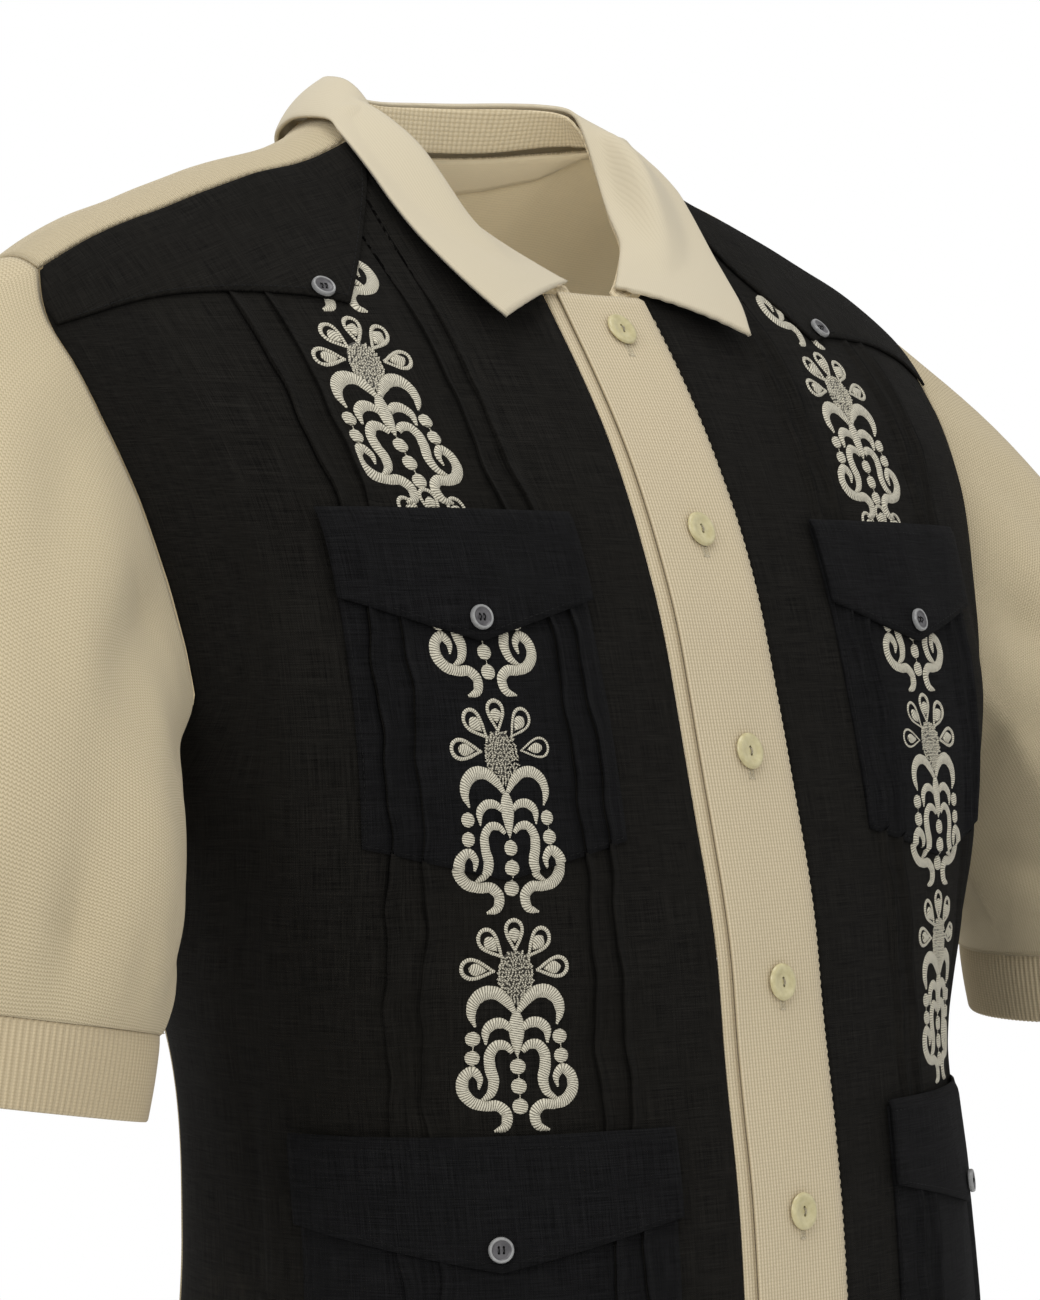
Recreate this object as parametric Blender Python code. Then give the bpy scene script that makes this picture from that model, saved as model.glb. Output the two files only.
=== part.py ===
import bpy
import bmesh
import numpy as np
from math import cos, radians, sin, pi, tau

# Embroidered short-sleeved shirt, worn and filled out, with no wearer.
# Frame: +X is the wearer's left, -Y the front, +Z up. The origin is the centre of the neck
# at the height where the shoulder meets the neck. Every size below is in millimetres.
MM = 0.001

# Wall thickness of each cloth and the space left between sewn pieces
LINEN = 1.2
KNIT = 1.8
SEAM = 0.5
LAYER = 0.4
TAPE_GAP = 0.9

# Torso form, one row for each level
TORSO_COLUMNS = ("level", "half_width", "squareness", "side_line", "front_depth", "back_depth")
TORSO = (
    (60, 300, 2.40, 2, 48, 60),
    (0, 300, 2.40, 0, 53, 72),
    (-50, 296, 2.40, -5, 61, 94),
    (-80, 290, 2.40, -11, 74, 102),
    (-110, 284, 2.50, -17, 87, 108),
    (-134, 278, 2.50, -24, 94, 113),
    (-165, 270, 2.50, -34, 99, 119),
    (-200, 259, 2.55, -44, 102, 124),
    (-244, 249, 2.60, -53, 105, 127),
    (-300, 229, 2.50, -60, 111, 127),
    (-340, 208, 2.45, -63, 116, 125),
    (-386, 190, 2.40, -67, 118, 123),
    (-470, 189, 2.40, -79, 116, 123),
    (-560, 198, 2.40, -83, 117, 130),
    (-720, 210, 2.40, -83, 120, 134),
)
FRONT_ROLL = 100.0
BACK_ROLL = 90.0

# Ridge of the shoulder, one row for each distance from the neck's centre
SHOULDER_COLUMNS = ("across", "height")
SHOULDER = (
    (0, 45), (40, 38), (65, 22), (85, 5), (110, -8), (150, -20),
    (200, -38), (240, -54), (262, -66), (300, -90),
)

# Soft folds that hang in the body: where round the girth, from which level, how wide, how deep
FOLD_COLUMNS = ("side", "girth", "start", "half_width", "depth")
FOLDS = (
    ("front", 238, -330, 20, 4.0),
    ("front", -242, -300, 22, 4.5),
    ("front", 205, -520, 16, 2.5),
    ("front", -208, -480, 17, 2.5),
    ("back", 60, -300, 26, 4.5),
    ("back", -48, -340, 24, 4.0),
    ("back", 165, -260, 28, 5.0),
    ("back", -172, -240, 30, 5.0),
)

# Neckline on the form: front rows run from the shoulder to the centre front
NECK_COLUMNS = ("across", "height")
NECK_FRONT = (
    (83, -4), (80, -14), (73, -29), (63, -43), (51, -55), (38, -64), (26, -71), (14, -75), (0, -77),
)
NECK_BACK = ((0, 2), (22, 2.3), (44, 3.2), (62, 4.6), (74, 5.5), (81, 5.5))
SHOULDER_SEAM_DROP = 8.0
SHOULDER_TIP = 262.0

# Armhole on the form, from the underarm up: how far across the front and the back edge lie
UNDERARM = -280.0
SIDE_WRAP = 82.0
ARMHOLE_COLUMNS = ("height", "front_across", "back_across")
ARMHOLE = (
    (-262, 241.4, 241.4), (-244, 240, 240), (-224, 243, 243), (-200, 247, 246),
    (-165, 255, 252), (-134, 262, 258), (-110, 266, 262),
)

HEM = -700.0
UPPER = -110.0
BAND_HALF = 28.0
UNDER_BAND = (-34.0, 21.0)
TUCKS = (85.0, 98.0, 170.0, 184.0)
TUCK_HALF = 2.0
TUCK_HEIGHT = 1.1


def column(table, columns, name):
    place = columns.index(name)
    return np.array([row[place] for row in table], dtype=float)


def smooth(position, places, values):
    """Cubic curve through a table, flat outside its ends."""
    if places[0] > places[-1]:
        places = places[::-1]
        values = values[::-1]
    slope = np.gradient(values, places)
    q = np.clip(np.asarray(position, dtype=float), places[0], places[-1])
    k = np.clip(np.searchsorted(places, q, side="right") - 1, 0, len(places) - 2)
    width = places[k + 1] - places[k]
    t = (q - places[k]) / width
    return ((1 + 2 * t) * (1 - t) ** 2 * values[k] + t * (1 - t) ** 2 * width * slope[k]
            + t * t * (3 - 2 * t) * values[k + 1] + t * t * (t - 1) * width * slope[k + 1])


def torso(level, name):
    return smooth(level, column(TORSO, TORSO_COLUMNS, "level"), column(TORSO, TORSO_COLUMNS, name))


def ridge(across):
    return smooth(np.abs(across), column(SHOULDER, SHOULDER_COLUMNS, "across"),
                  column(SHOULDER, SHOULDER_COLUMNS, "height"))


def cap(drop, roll):
    q = np.clip(drop / roll, 0.0, 1.0)
    return np.sqrt(q * (2.0 - q))


def form_y(across, level, front, lateral=None):
    """Depth of the torso form at a place across it and a level."""
    power = torso(level, "squareness")
    if lateral is None:
        ratio = np.clip(np.abs(across) / torso(level, "half_width"), 0.0, 1.0)
        lateral = (1.0 - ratio ** power) ** (1.0 / power)
    drop = ridge(across) - level
    if front:
        return torso(level, "side_line") - torso(level, "front_depth") * lateral * cap(drop, FRONT_ROLL)
    return torso(level, "side_line") + torso(level, "back_depth") * lateral * cap(drop, BACK_ROLL)


TURN = np.linspace(0.0, pi / 2, 361)
LEVELS = np.arange(-730.0, -39.0, 3.0)


def ring_table(front):
    """Girth measured from the centre line, for each level and each turn round the form."""
    rows = []
    for level in LEVELS:
        power = float(torso(level, "squareness"))
        across = float(torso(level, "half_width")) * np.sin(TURN) ** (2.0 / power)
        y = form_y(across, np.full_like(across, level), front, np.cos(TURN) ** (2.0 / power))
        step = np.hypot(np.diff(across), np.diff(y))
        rows.append(np.concatenate(([0.0], np.cumsum(step))))
    return np.array(rows)


RING = {True: ring_table(True), False: ring_table(False)}


def side_girth(level, front):
    return np.interp(level, LEVELS, RING[front][:, -1])


def turn_at(girth, level, front):
    """Turn round the form where the girth from the centre line is reached."""
    girth, level = np.broadcast_arrays(np.abs(girth), level)
    out = np.empty(girth.size)
    table = RING[front]
    place = np.clip((level.ravel() - LEVELS[0]) / 3.0, 0, len(LEVELS) - 1.001)
    for n, (g, p) in enumerate(zip(girth.ravel(), place)):
        k = int(p)
        row = table[k] * (1 - (p - k)) + table[k + 1] * (p - k)
        out[n] = np.interp(g, row, TURN)
    return out.reshape(girth.shape)


def girth_at(across, level, front):
    """Girth from the centre line to a place across the form."""
    power = torso(level, "squareness")
    ratio = np.clip(np.abs(across) / torso(level, "half_width"), 0.0, 1.0)
    turn = np.arcsin(np.clip(ratio ** (power / 2.0), 0.0, 1.0))
    p = min(max((float(level) - LEVELS[0]) / 3.0, 0), len(LEVELS) - 1.001)
    k = int(p)
    row = RING[front][k] * (1 - (p - k)) + RING[front][k + 1] * (p - k)
    return float(np.interp(float(turn), TURN, row)) * (1 if across >= 0 else -1)


def fold_depth(girth, level, front):
    total = np.zeros(np.broadcast(girth, level).shape)
    for side, centre, start, half, depth in FOLDS:
        if (side == "front") == front:
            grow = np.clip((start - level) / 260.0, 0.0, 1.0)
            grow = grow * grow * (3 - 2 * grow)
            total = total + depth * grow * np.exp(-((girth - centre) / half) ** 2)
    return total


def by_girth(girth, level, front):
    """Bare form point at a girth from the centre line and a level."""
    turn = turn_at(girth, level, front)
    power = torso(level, "squareness")
    across = torso(level, "half_width") * np.sin(turn) ** (2.0 / power)
    y = form_y(across, level, front, np.cos(turn) ** (2.0 / power))
    across = across * np.where(np.asarray(girth) < 0, -1.0, 1.0)
    return np.stack(np.broadcast_arrays(across, y, level), axis=-1)


def wrap(level):
    """How far a front reaches past the side line, towards the back."""
    q = np.clip((UNDERARM - np.asarray(level, float)) / 110.0, 0.0, 1.0)
    return SIDE_WRAP * q * q * (3 - 2 * q)


def past_side(girth, level, front):
    """Split girths into those on the asked side of the form and those past its side line."""
    girth, level = np.broadcast_arrays(np.asarray(girth, float), np.asarray(level, float))
    limit = side_girth(level, front)
    over = np.abs(girth) > limit
    other = np.sign(girth) * (side_girth(level, not front) - (np.abs(girth) - limit))
    return over, other


def form_point(girth, level, front):
    """Bare form point, also past the side line."""
    over, other = past_side(girth, level, front)
    point = by_girth(girth, level, front)
    if over.any():
        point = np.where(over[..., None], by_girth(other, level, not front), point)
    return point


def unit(vectors):
    return vectors / np.maximum(np.linalg.norm(vectors, axis=-1, keepdims=True), 1e-9)


def body_point(girth, level, front, off):
    """Point on the body cloth, moved out of the form by the folds and by off."""
    girth, level, off = np.broadcast_arrays(np.asarray(girth, float), np.asarray(level, float),
                                            np.asarray(off, float))
    point = form_point(girth, level, front)
    d = 1.5
    along = form_point(girth + d, level, front) - form_point(girth - d, level, front)
    up = form_point(girth, level + d, front) - form_point(girth, level - d, front)
    normal = unit(np.cross(along, up)) * (1.0 if front else -1.0)
    over, other = past_side(girth, level, front)
    fold = np.where(over, fold_depth(other, level, not front), fold_depth(girth, level, front))
    return point + normal * (off + fold)[..., None]


def roll_point(across, roll, off):
    """Point on the shoulder part of the form. Roll is measured over the ridge, back side positive."""
    across, roll, off = np.broadcast_arrays(np.asarray(across, float), np.asarray(roll, float),
                                            np.asarray(off, float))

    def bare(x, r):
        radius = np.where(r < 0, FRONT_ROLL, BACK_ROLL)
        angle = np.clip(np.abs(r) / radius, 0, pi / 2)
        drop = radius * (1 - np.cos(angle)) + np.maximum(np.abs(r) - radius * pi / 2, 0)
        level = ridge(x) - drop
        power = torso(level, "squareness")
        ratio = np.clip(np.abs(x) / torso(level, "half_width"), 0.0, 1.0)
        lateral = (1.0 - ratio ** power) ** (1.0 / power)
        depth = np.where(r < 0, -torso(level, "front_depth"), torso(level, "back_depth"))
        y = torso(level, "side_line") + depth * lateral * np.sin(angle)
        return np.stack((x, y, level), axis=-1)

    d = 1.0
    along = bare(across + d, roll) - bare(across - d, roll)
    over = bare(across, roll - d) - bare(across, roll + d)
    normal = unit(np.cross(over, along))
    return bare(across, roll) + normal * off[..., None]


def roll_at(across, level, front):
    """Roll coordinate of a form point given by its place across and its level."""
    radius = FRONT_ROLL if front else BACK_ROLL
    drop = max(float(ridge(across)) - level, 0.0)
    if drop >= radius:
        roll = radius * pi / 2 + drop - radius
    else:
        roll = radius * np.arccos(1 - drop / radius)
    return -roll if front else roll


def tuck_rise(girth, level):
    """Extra height of the stitched tucks of a front."""
    rise = np.zeros(np.broadcast(girth, level).shape)
    for place in TUCKS:
        rise = np.maximum(rise, 1.0 - np.abs(np.abs(girth) - place) / TUCK_HALF)
    return np.clip(rise, 0, 1) * TUCK_HEIGHT


def clear_scene():
    for thing in list(bpy.data.objects):
        bpy.data.objects.remove(thing, do_unlink=True)


def cloth_material(name, colour, roughness):
    material = bpy.data.materials.new(name)
    material.use_nodes = True
    shader = material.node_tree.nodes["Principled BSDF"]
    shader.inputs["Base Color"].default_value = (*colour, 1.0)
    shader.inputs["Roughness"].default_value = roughness
    return material


def make_object(name, mesh_builder, colour, roughness=0.85):
    bm = bmesh.new()
    mesh_builder(bm)
    bmesh.ops.recalc_face_normals(bm, faces=bm.faces)
    for face in bm.faces:
        face.smooth = True
    mesh = bpy.data.meshes.new(name)
    bm.to_mesh(mesh)
    bm.free()
    mesh.materials.append(cloth_material(name, colour, roughness))
    thing = bpy.data.objects.new(name, mesh)
    bpy.context.scene.collection.objects.link(thing)
    return thing


def wall(bm, inner, outer, ring=False):
    """Closed cloth wall between two grids of points. A ring joins its last column to its first."""
    rows, cols = inner.shape[:2]
    low = [[bm.verts.new(p * MM) for p in row] for row in inner]
    top = [[bm.verts.new(p * MM) for p in row] for row in outer]
    span = cols if ring else cols - 1
    for i in range(rows - 1):
        for j in range(span):
            n = (j + 1) % cols
            bm.faces.new((top[i][j], top[i][n], top[i + 1][n], top[i + 1][j]))
            bm.faces.new((low[i][j], low[i + 1][j], low[i + 1][n], low[i][n]))
    for j in range(span):
        n = (j + 1) % cols
        bm.faces.new((top[0][j], low[0][j], low[0][n], top[0][n]))
        bm.faces.new((top[-1][j], top[-1][n], low[-1][n], low[-1][j]))
    if not ring:
        for i in range(rows - 1):
            bm.faces.new((top[i][0], top[i + 1][0], low[i + 1][0], low[i][0]))
            bm.faces.new((top[i][-1], low[i][-1], low[i + 1][-1], top[i + 1][-1]))


# Levels of the rows of a panel between hem and upper chest
PANEL_LEVELS = (-700, -650, -600, -555, -510, -465, -420, -390, -350, -315, -280,
                -262, -244, -224, -200, -165, -134, -110)
UPPER_ROWS = 6


def armhole_girth(level, front):
    """Girth of the panel's side edge at a level: the side seam, then the armhole."""
    if level <= UNDERARM:
        return float(side_girth(level, front) + wrap(level) * (1 if front else -1)) - SEAM
    heights = np.concatenate(([UNDERARM], column(ARMHOLE, ARMHOLE_COLUMNS, "height")))
    name = "front_across" if front else "back_across"
    girths = [float(side_girth(UNDERARM, front)) - SEAM]
    for height, x in zip(heights[1:], column(ARMHOLE, ARMHOLE_COLUMNS, name)):
        girths.append(girth_at(x, height, front))
    return float(np.interp(level, heights, girths))


def lean(girth, level):
    """The cloth's upright lines lean out a little towards the shoulder."""
    q = np.clip((level + 190.0) / 110.0, 0, 1)
    return girth * (1.0 + 0.07 * q * q * (3 - 2 * q))


def neck_front_level(across):
    return smooth(-np.abs(across), -column(NECK_FRONT, NECK_COLUMNS, "across"),
                  column(NECK_FRONT, NECK_COLUMNS, "height"))


def front_top(across):
    """Top edge of a front panel: the neckline, then the shoulder seam."""
    edge = 84.0
    if across < edge:
        return roll_at(across, float(neck_front_level(across)), True)
    return roll_at(across, float(ridge(across)) - SHOULDER_SEAM_DROP, True)


def front_lines():
    lines = [47.0, 64.0]
    for place in TUCKS[:2]:
        lines += [place - TUCK_HALF, place, place + TUCK_HALF]
    lines += [112.0, 126.0, 141.0, 155.0]
    for place in TUCKS[2:]:
        lines += [place - TUCK_HALF, place, place + TUCK_HALF]
    return lines + [204.0, 224.0]


def front_grid(sign, inner):
    """Points of a front, row by row from hem to shoulder: the wall's inside and outside."""
    lines = [inner] + front_lines()
    shares = [0.25, 0.5, 0.75, 1.0]
    low, top = [], []
    for level in PANEL_LEVELS:
        edge = armhole_girth(level, True)
        last = float(lean(lines[-1], level))
        girths = [inner] + [float(lean(g, level)) for g in lines[1:]]
        girths += [last + (edge - last) * share for share in shares]
        girths = np.array(girths) * sign
        base = np.array(lines + [0.0] * len(shares))
        rise = tuck_rise(base, np.full(len(base), level))
        low.append(body_point(girths, level, True, 0.0))
        top.append(body_point(girths, level, True, LINEN + rise))
    start = [abs(p[0]) for p in low[-1]]
    count = len(start)
    ends = []
    for j in range(count):
        x = start[j]
        if j < len(lines):
            ends.append(x * (1.0 + 0.02 * min(x, 150) / 150))
        else:
            k = j - len(lines)
            ends.append(ends[len(lines) - 1] + (SHOULDER_TIP - ends[len(lines) - 1]) * shares[k])
    for row in range(1, UPPER_ROWS + 1):
        t = row / UPPER_ROWS
        x = np.array([start[j] + (ends[j] - start[j]) * t for j in range(count)])
        edge_bow = 4.0 * sin(pi * t)
        x[-1] += edge_bow
        x[-2] += edge_bow * 0.6
        r0 = np.array([roll_at(start[j], UPPER, True) for j in range(count)])
        r1 = np.array([front_top(ends[j]) for j in range(count)])
        roll = r0 + (r1 - r0) * t
        fade = 1.0 if row == 1 else 0.0
        rise = tuck_rise(np.array(lines + [0.0] * len(shares)), UPPER) * fade
        low.append(roll_point(x * sign, roll, 0.0))
        top.append(roll_point(x * sign, roll, LINEN + rise))
    return np.array(low), np.array(top)


# Upright lines of the back: girth below the shoulder, and where across each meets the top edge
BACK_LINE_COLUMNS = ("girth", "top_across")
BACK_LINES = ((0, 0), (22, 22), (44, 43), (62, 61), (77, 74.5), (91, 81.6), (106, 87),
              (130, 116), (158, 149), (188, 181), (218, 211))
RIDGE_ROWS = 7


def back_top(across):
    if across <= 81:
        level = float(smooth(across, column(NECK_BACK, NECK_COLUMNS, "across"),
                             column(NECK_BACK, NECK_COLUMNS, "height")))
        return roll_at(across, level, False)
    if across < 85:
        return -3.0
    return roll_at(across, float(ridge(across)) - SHOULDER_SEAM_DROP + 1.2, True)


def back_grid():
    shares = [0.34, 0.67, 1.0]
    half = []
    for level in PANEL_LEVELS:
        edge = armhole_girth(level, False)
        last = float(BACK_LINES[-1][0])
        whole = 272.0
        line = [float(row[0]) for row in BACK_LINES] + [last + (whole - last) * s for s in shares]
        half.append([g * edge / whole for g in line])
    low, top = [], []
    for level, girths in zip(PANEL_LEVELS, half):
        row = np.array([-g for g in girths[:0:-1]] + girths)
        low.append(body_point(row, level, False, 0.0))
        top.append(body_point(row, level, False, KNIT))
    n = len(half[-1])
    start = [abs(p[0]) for p in low[-1][n - 1:]]
    ends = []
    for j in range(n):
        if j < len(BACK_LINES):
            ends.append(float(BACK_LINES[j][1]))
        else:
            k = j - len(BACK_LINES)
            ends.append(ends[len(BACK_LINES) - 1] + (SHOULDER_TIP - ends[len(BACK_LINES) - 1]) * shares[k])
    for row in range(1, RIDGE_ROWS + 1):
        t = row / RIDGE_ROWS
        x, roll = [], []
        for j in range(n):
            r0 = roll_at(start[j], UPPER, False)
            r1 = back_top(ends[j])
            x.append(start[j] + (ends[j] - start[j]) * t)
            roll.append(r0 + (r1 - r0) * t)
        bow = 4.0 * sin(pi * t)
        x[-1] += bow
        x[-2] += bow * 0.6
        x = np.array([-v for v in x[:0:-1]] + x)
        roll = np.array(roll[:0:-1] + roll)
        low.append(roll_point(x, roll, 0.0))
        top.append(roll_point(x, roll, KNIT))
    return np.array(low), np.array(top)


# Yoke of a front: its lower edge from the point to the armhole
YOKE_COLUMNS = ("across", "height")
YOKE_LOWER = ((144, -84), (160, -81.5), (190, -81), (216, -83), (240, -88), (265, -96))
YOKE_NECK_SIDE = 87.0
YOKE_BOW = 11.0
YOKE_LIFT = LINEN + LAYER + 0.3

# Pockets of a front: girth of both sides, level of the top, of the lower corners and of the point
POCKET_COLUMNS = ("inner", "outer", "top", "corner", "point")
CHEST_POCKET = (76.0, 196.0, -172.0, -302.0, -316.0)
LOWER_POCKET = (69.0, 228.0, -420.0, -566.0, -580.0)
FLAP_DEPTH = 36.0
FLAP_POINT = 17.0
FLAP_SIDE = 1.5

# Buttons: across the whole face, and the levels of those on the band
BAND_BUTTON = 15.6
SMALL_BUTTON = 10.4
BAND_BUTTONS = (-89.0, -175.0, -268.0, -363.0, -457.0, -551.0, -645.0)
BUTTON_PROFILE_COLUMNS = ("radius_share", "height")
BUTTON_PROFILE = ((0.90, 0.0), (1.0, 0.9), (0.93, 2.4), (0.62, 2.3), (0.52, 1.7))
BUTTON_SIDES = 12

# Collar, one row for each place from the centre back round to the centre front
COLLAR_COLUMNS = ("fold_across", "fold_depth", "fold_height", "base_across", "base_height",
                  "edge_across", "edge_height", "edge_lift", "base_front")
COLLAR = (
    (0, 58, 26, 0, 3.5, 0, -5, 4.0, 0),
    (22, 55, 27, 22, 3.8, 29.5, -5.5, 4.0, 0),
    (41, 47, 27.5, 43, 4.7, 52, -5, 4.0, 0),
    (56, 33, 27.5, 59, 6.2, 67.5, -2.5, 4.0, 0),
    (65, 18, 26, 71, 8.0, 79, 0, 4.2, 0),
    (68, 5, 22.5, 78, 8.5, 88, 1.5, 4.6, 0),
    (67.5, -2, 15.5, 80.5, 5.5, 93, -1.5, 5.0, 1),
    (66, -9, 4.5, 80.5, 1.0, 96.5, -7.5, 5.2, 1),
    (63, -18, -11, 79, -7, 98, -18, 5.4, 1),
    (57, -28, -23, 76, -17, 97, -28, 5.4, 1),
    (51.5, -37, -32, 71, -27, 95.5, -39, 5.6, 1),
    (44, -50, -44, 62.5, -39, 93, -51, 6.0, 1),
    (34, -59, -53, 49.5, -52, 90, -62, 6.6, 1),
    (23, -68, -61, 33, -64.5, 84.5, -77, 8.0, 1),
    (14, -75, -67, 14, -73.5, 76, -92, 10.5, 1),
)
STAND_WALL = 1.6
COLLAR_ROLL = 3.0

# Sleeve: how the lines run from the armhole to the cuff
CUFF_CENTRE = (332.0, -90.0, -362.0)
CUFF_TILT = 9.0
CUFF_RADIUS = 58.0
CUFF_LENGTH = 33.0
CUFF_RIBS = 42
RIB_HEIGHT = 0.9
SLEEVE_ROWS = (0.0, 0.06, 0.15, 0.26, 0.38, 0.51, 0.64, 0.77, 0.90, 1.0)
SLEEVE_FOLD_COLUMNS = ("round", "drift", "half_width", "depth")
SLEEVE_FOLDS = ((0.20, 0.10, 0.035, -4.0), (0.36, -0.06, 0.04, -3.5), (0.62, 0.05, 0.04, -4.0),
                (0.80, -0.08, 0.045, -4.5), (0.50, 0.04, 0.03, -2.5))

CREAM = (0.62, 0.55, 0.38)
BAND_CREAM = (0.68, 0.60, 0.42)
BLACK = (0.014, 0.013, 0.012)
POCKET_BLACK = (0.011, 0.011, 0.013)
DARK_BUTTON = (0.05, 0.05, 0.05)
PALE_BUTTON = (0.66, 0.60, 0.36)


def grid_normals(points, ring=False):
    """Surface direction at each point of a grid, from its neighbours."""
    if ring:
        along = np.roll(points, -1, axis=1) - np.roll(points, 1, axis=1)
    else:
        along = np.gradient(points, axis=1)
    return unit(np.cross(along, np.gradient(points, axis=0)))


def build_back():
    low, top = back_grid()
    make_object("back", lambda bm: wall(bm, low, top), CREAM)
    return low, top


def build_neck_tape(back_low):
    middle = back_low.shape[1] // 2
    strip = back_low[:, middle - 5:middle + 6]
    normal = grid_normals(strip)
    if normal[-2, 5][1] < 0:
        normal = -normal
    above = strip[-1] * 0.9 + strip[-2] * 0.1
    below = strip[-2]
    rows = np.array([below, above])
    lift = np.array([normal[-2], normal[-1]])
    make_object("neck_tape", lambda bm: wall(bm, rows - lift * (TAPE_GAP + 0.9), rows - lift * TAPE_GAP), CREAM)


def build_fronts():
    made = {}
    for name, sign, inner in (("left", 1, BAND_HALF + SEAM), ("right", -1, -UNDER_BAND[0] + SEAM)):
        low, top = front_grid(sign, inner)
        make_object("front_" + name, lambda bm: wall(bm, low, top), BLACK)
        made[name] = (low, top)
    return made


def build_bands():
    levels = np.array((HEM,) + tuple(PANEL_LEVELS[1:]) + (-93.0, -77.5))
    for name, lines, lift in (
            ("placket_under", (-34.0, -20.0, 0.0, 21.0), (0.0, 0.0, 0.0, 0.0)),
            ("placket_over", (-28.0, -20.0, 0.0, 21.5, 28.0), (2.2, 2.2, 2.2, 2.2, 0.7))):
        low, top = [], []
        for level in levels:
            base = np.array(lift)
            low.append(body_point(np.array(lines), level, True, base))
            top.append(body_point(np.array(lines), level, True, base + KNIT))
        low, top = np.array(low), np.array(top)
        make_object(name, lambda bm: wall(bm, low, top), BAND_CREAM)


def build_yoke(name, sign):
    across = column(YOKE_LOWER, YOKE_COLUMNS, "across")
    height = column(YOKE_LOWER, YOKE_COLUMNS, "height")
    low, top = [], []
    for row in range(7):
        t = row / 6
        xs, rolls = [], []
        for k in range(10):
            c = k / 9
            x_top = YOKE_NECK_SIDE + (SHOULDER_TIP - 1.0 - YOKE_NECK_SIDE) * c
            x_low = across[0] + (across[-1] - across[0]) * c
            x = x_top + (x_low - x_top) * t - YOKE_BOW * sin(pi * t) * (1 - c) + 4 * sin(pi * t * 0.85) * c ** 3
            r_top = roll_at(x_top, float(ridge(x_top)) - SHOULDER_SEAM_DROP - 0.4, True)
            r_low = roll_at(x_low, float(smooth(x_low, across, height)), True)
            xs.append(x)
            rolls.append(r_top + (r_low - r_top) * t)
        low.append(roll_point(np.array(xs) * sign, np.array(rolls), YOKE_LIFT))
        top.append(roll_point(np.array(xs) * sign, np.array(rolls), YOKE_LIFT + LINEN))
    make_object("yoke_" + name, lambda bm: wall(bm, np.array(low), np.array(top)), BLACK)


def pocket_lines(inner, outer):
    return [inner] + [g for g in front_lines() if inner + 2 < g < outer - 2] + [outer]


def pointed(girth, inner, outer, corner, point):
    """Lower edge of a pocket or flap, lowest in its middle."""
    middle = (inner + outer) / 2
    return point + (corner - point) * abs(girth - middle) / (outer - middle)


def build_pocket(name, sign, pocket):
    inner, outer, head, corner, point = pocket
    lines = np.array(pocket_lines(inner, outer))
    rows = 5
    low, top = [], []
    for row in range(rows + 1):
        foot = np.array([pointed(g, inner, outer, corner, point) for g in lines])
        level = head + (foot - head) * row / rows
        girth = lean(lines, level) * sign
        rise = tuck_rise(lines, level)
        lift = LINEN + LAYER + rise
        low.append(body_point(girth, level, True, lift))
        top.append(body_point(girth, level, True, lift + LINEN))
    make_object(name, lambda bm: wall(bm, np.array(low), np.array(top)), POCKET_BLACK)


def build_flap(name, sign, pocket):
    inner, outer, head, corner, point = pocket
    inner = inner - FLAP_SIDE
    outer = outer + FLAP_SIDE
    lines = np.array(pocket_lines(inner, outer))
    head = head + 3.0
    lift = 2 * (LINEN + LAYER) + TUCK_HEIGHT + 0.1
    drops = (0.0, 0.12, 0.5, 1.0)
    lifts = (lift - 0.9, lift, lift + 0.2, lift)
    low, top = [], []
    for share, up in zip(drops, lifts):
        foot = np.array([pointed(g, inner, outer, head - FLAP_DEPTH, head - FLAP_DEPTH - FLAP_POINT)
                         for g in lines])
        level = head + (foot - head) * share
        girth = lean(lines, level) * sign
        low.append(body_point(girth, level, True, up))
        top.append(body_point(girth, level, True, up + LINEN))
    make_object(name, lambda bm: wall(bm, np.array(low), np.array(top)), POCKET_BLACK)
    middle = (inner + outer) / 2
    return middle, head - FLAP_DEPTH - FLAP_POINT + 9.0, lift + LINEN + 0.7


def build_button(name, centre, normal, diameter, colour):
    """Turned button on the cloth, its face along normal."""
    up = np.array((0.0, 0.0, 1.0))
    side = unit(np.cross(up, normal))
    rise = unit(np.cross(normal, side))

    def body(bm):
        rings = []
        for share, height in BUTTON_PROFILE:
            ring = []
            for k in range(BUTTON_SIDES):
                a = tau * k / BUTTON_SIDES
                p = centre + (side * cos(a) + rise * sin(a)) * share * diameter / 2 + normal * height
                ring.append(bm.verts.new(p * MM))
            rings.append(ring)
        for one, two in zip(rings, rings[1:]):
            for k in range(BUTTON_SIDES):
                n = (k + 1) % BUTTON_SIDES
                bm.faces.new((one[k], one[n], two[n], two[k]))
        bm.faces.new(rings[0][::-1])
        bm.faces.new(rings[-1])

    make_object(name, body, colour, 0.4)


def surface_frame(girth, level):
    here = body_point(np.array([girth]), np.array([level]), True, np.array([0.0]))[0]
    there = body_point(np.array([girth]), np.array([level]), True, np.array([1.0]))[0]
    return here, unit(there - here)


def roll_frame(across, roll):
    here = roll_point(np.array([across]), np.array([roll]), np.array([0.0]))[0]
    there = roll_point(np.array([across]), np.array([roll]), np.array([1.0]))[0]
    return here, unit(there - here)


def collar_rings():
    """Fold, stand foot and leaf edge of one half, from the centre back to the centre front."""
    fold, foot, edge = [], [], []
    for row in COLLAR:
        fx, fy, fz, bx, bz, ex, ez, lift, front = row
        fold.append((fx, fy, fz))
        foot.append(roll_point(np.array([bx]), np.array([roll_at(bx, bz, bool(front))]), np.array([0.0]))[0])
        edge.append(roll_point(np.array([ex]), np.array([roll_at(ex, ez, bool(front))]), np.array([lift]))[0])
    return np.array(fold, float), np.array(foot), np.array(edge)


def both_halves(half):
    mirror = half[:0:-1] * np.array((-1.0, 1.0, 1.0))
    return np.concatenate((mirror, half))


def outward(points, normal):
    """Turn a grid's directions away from the neck's axis."""
    sense = np.sum(normal * (points - np.array((0.0, -10.0, -60.0))), axis=-1)
    return normal * np.where(np.mean(sense) < 0, -1.0, 1.0)


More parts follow.
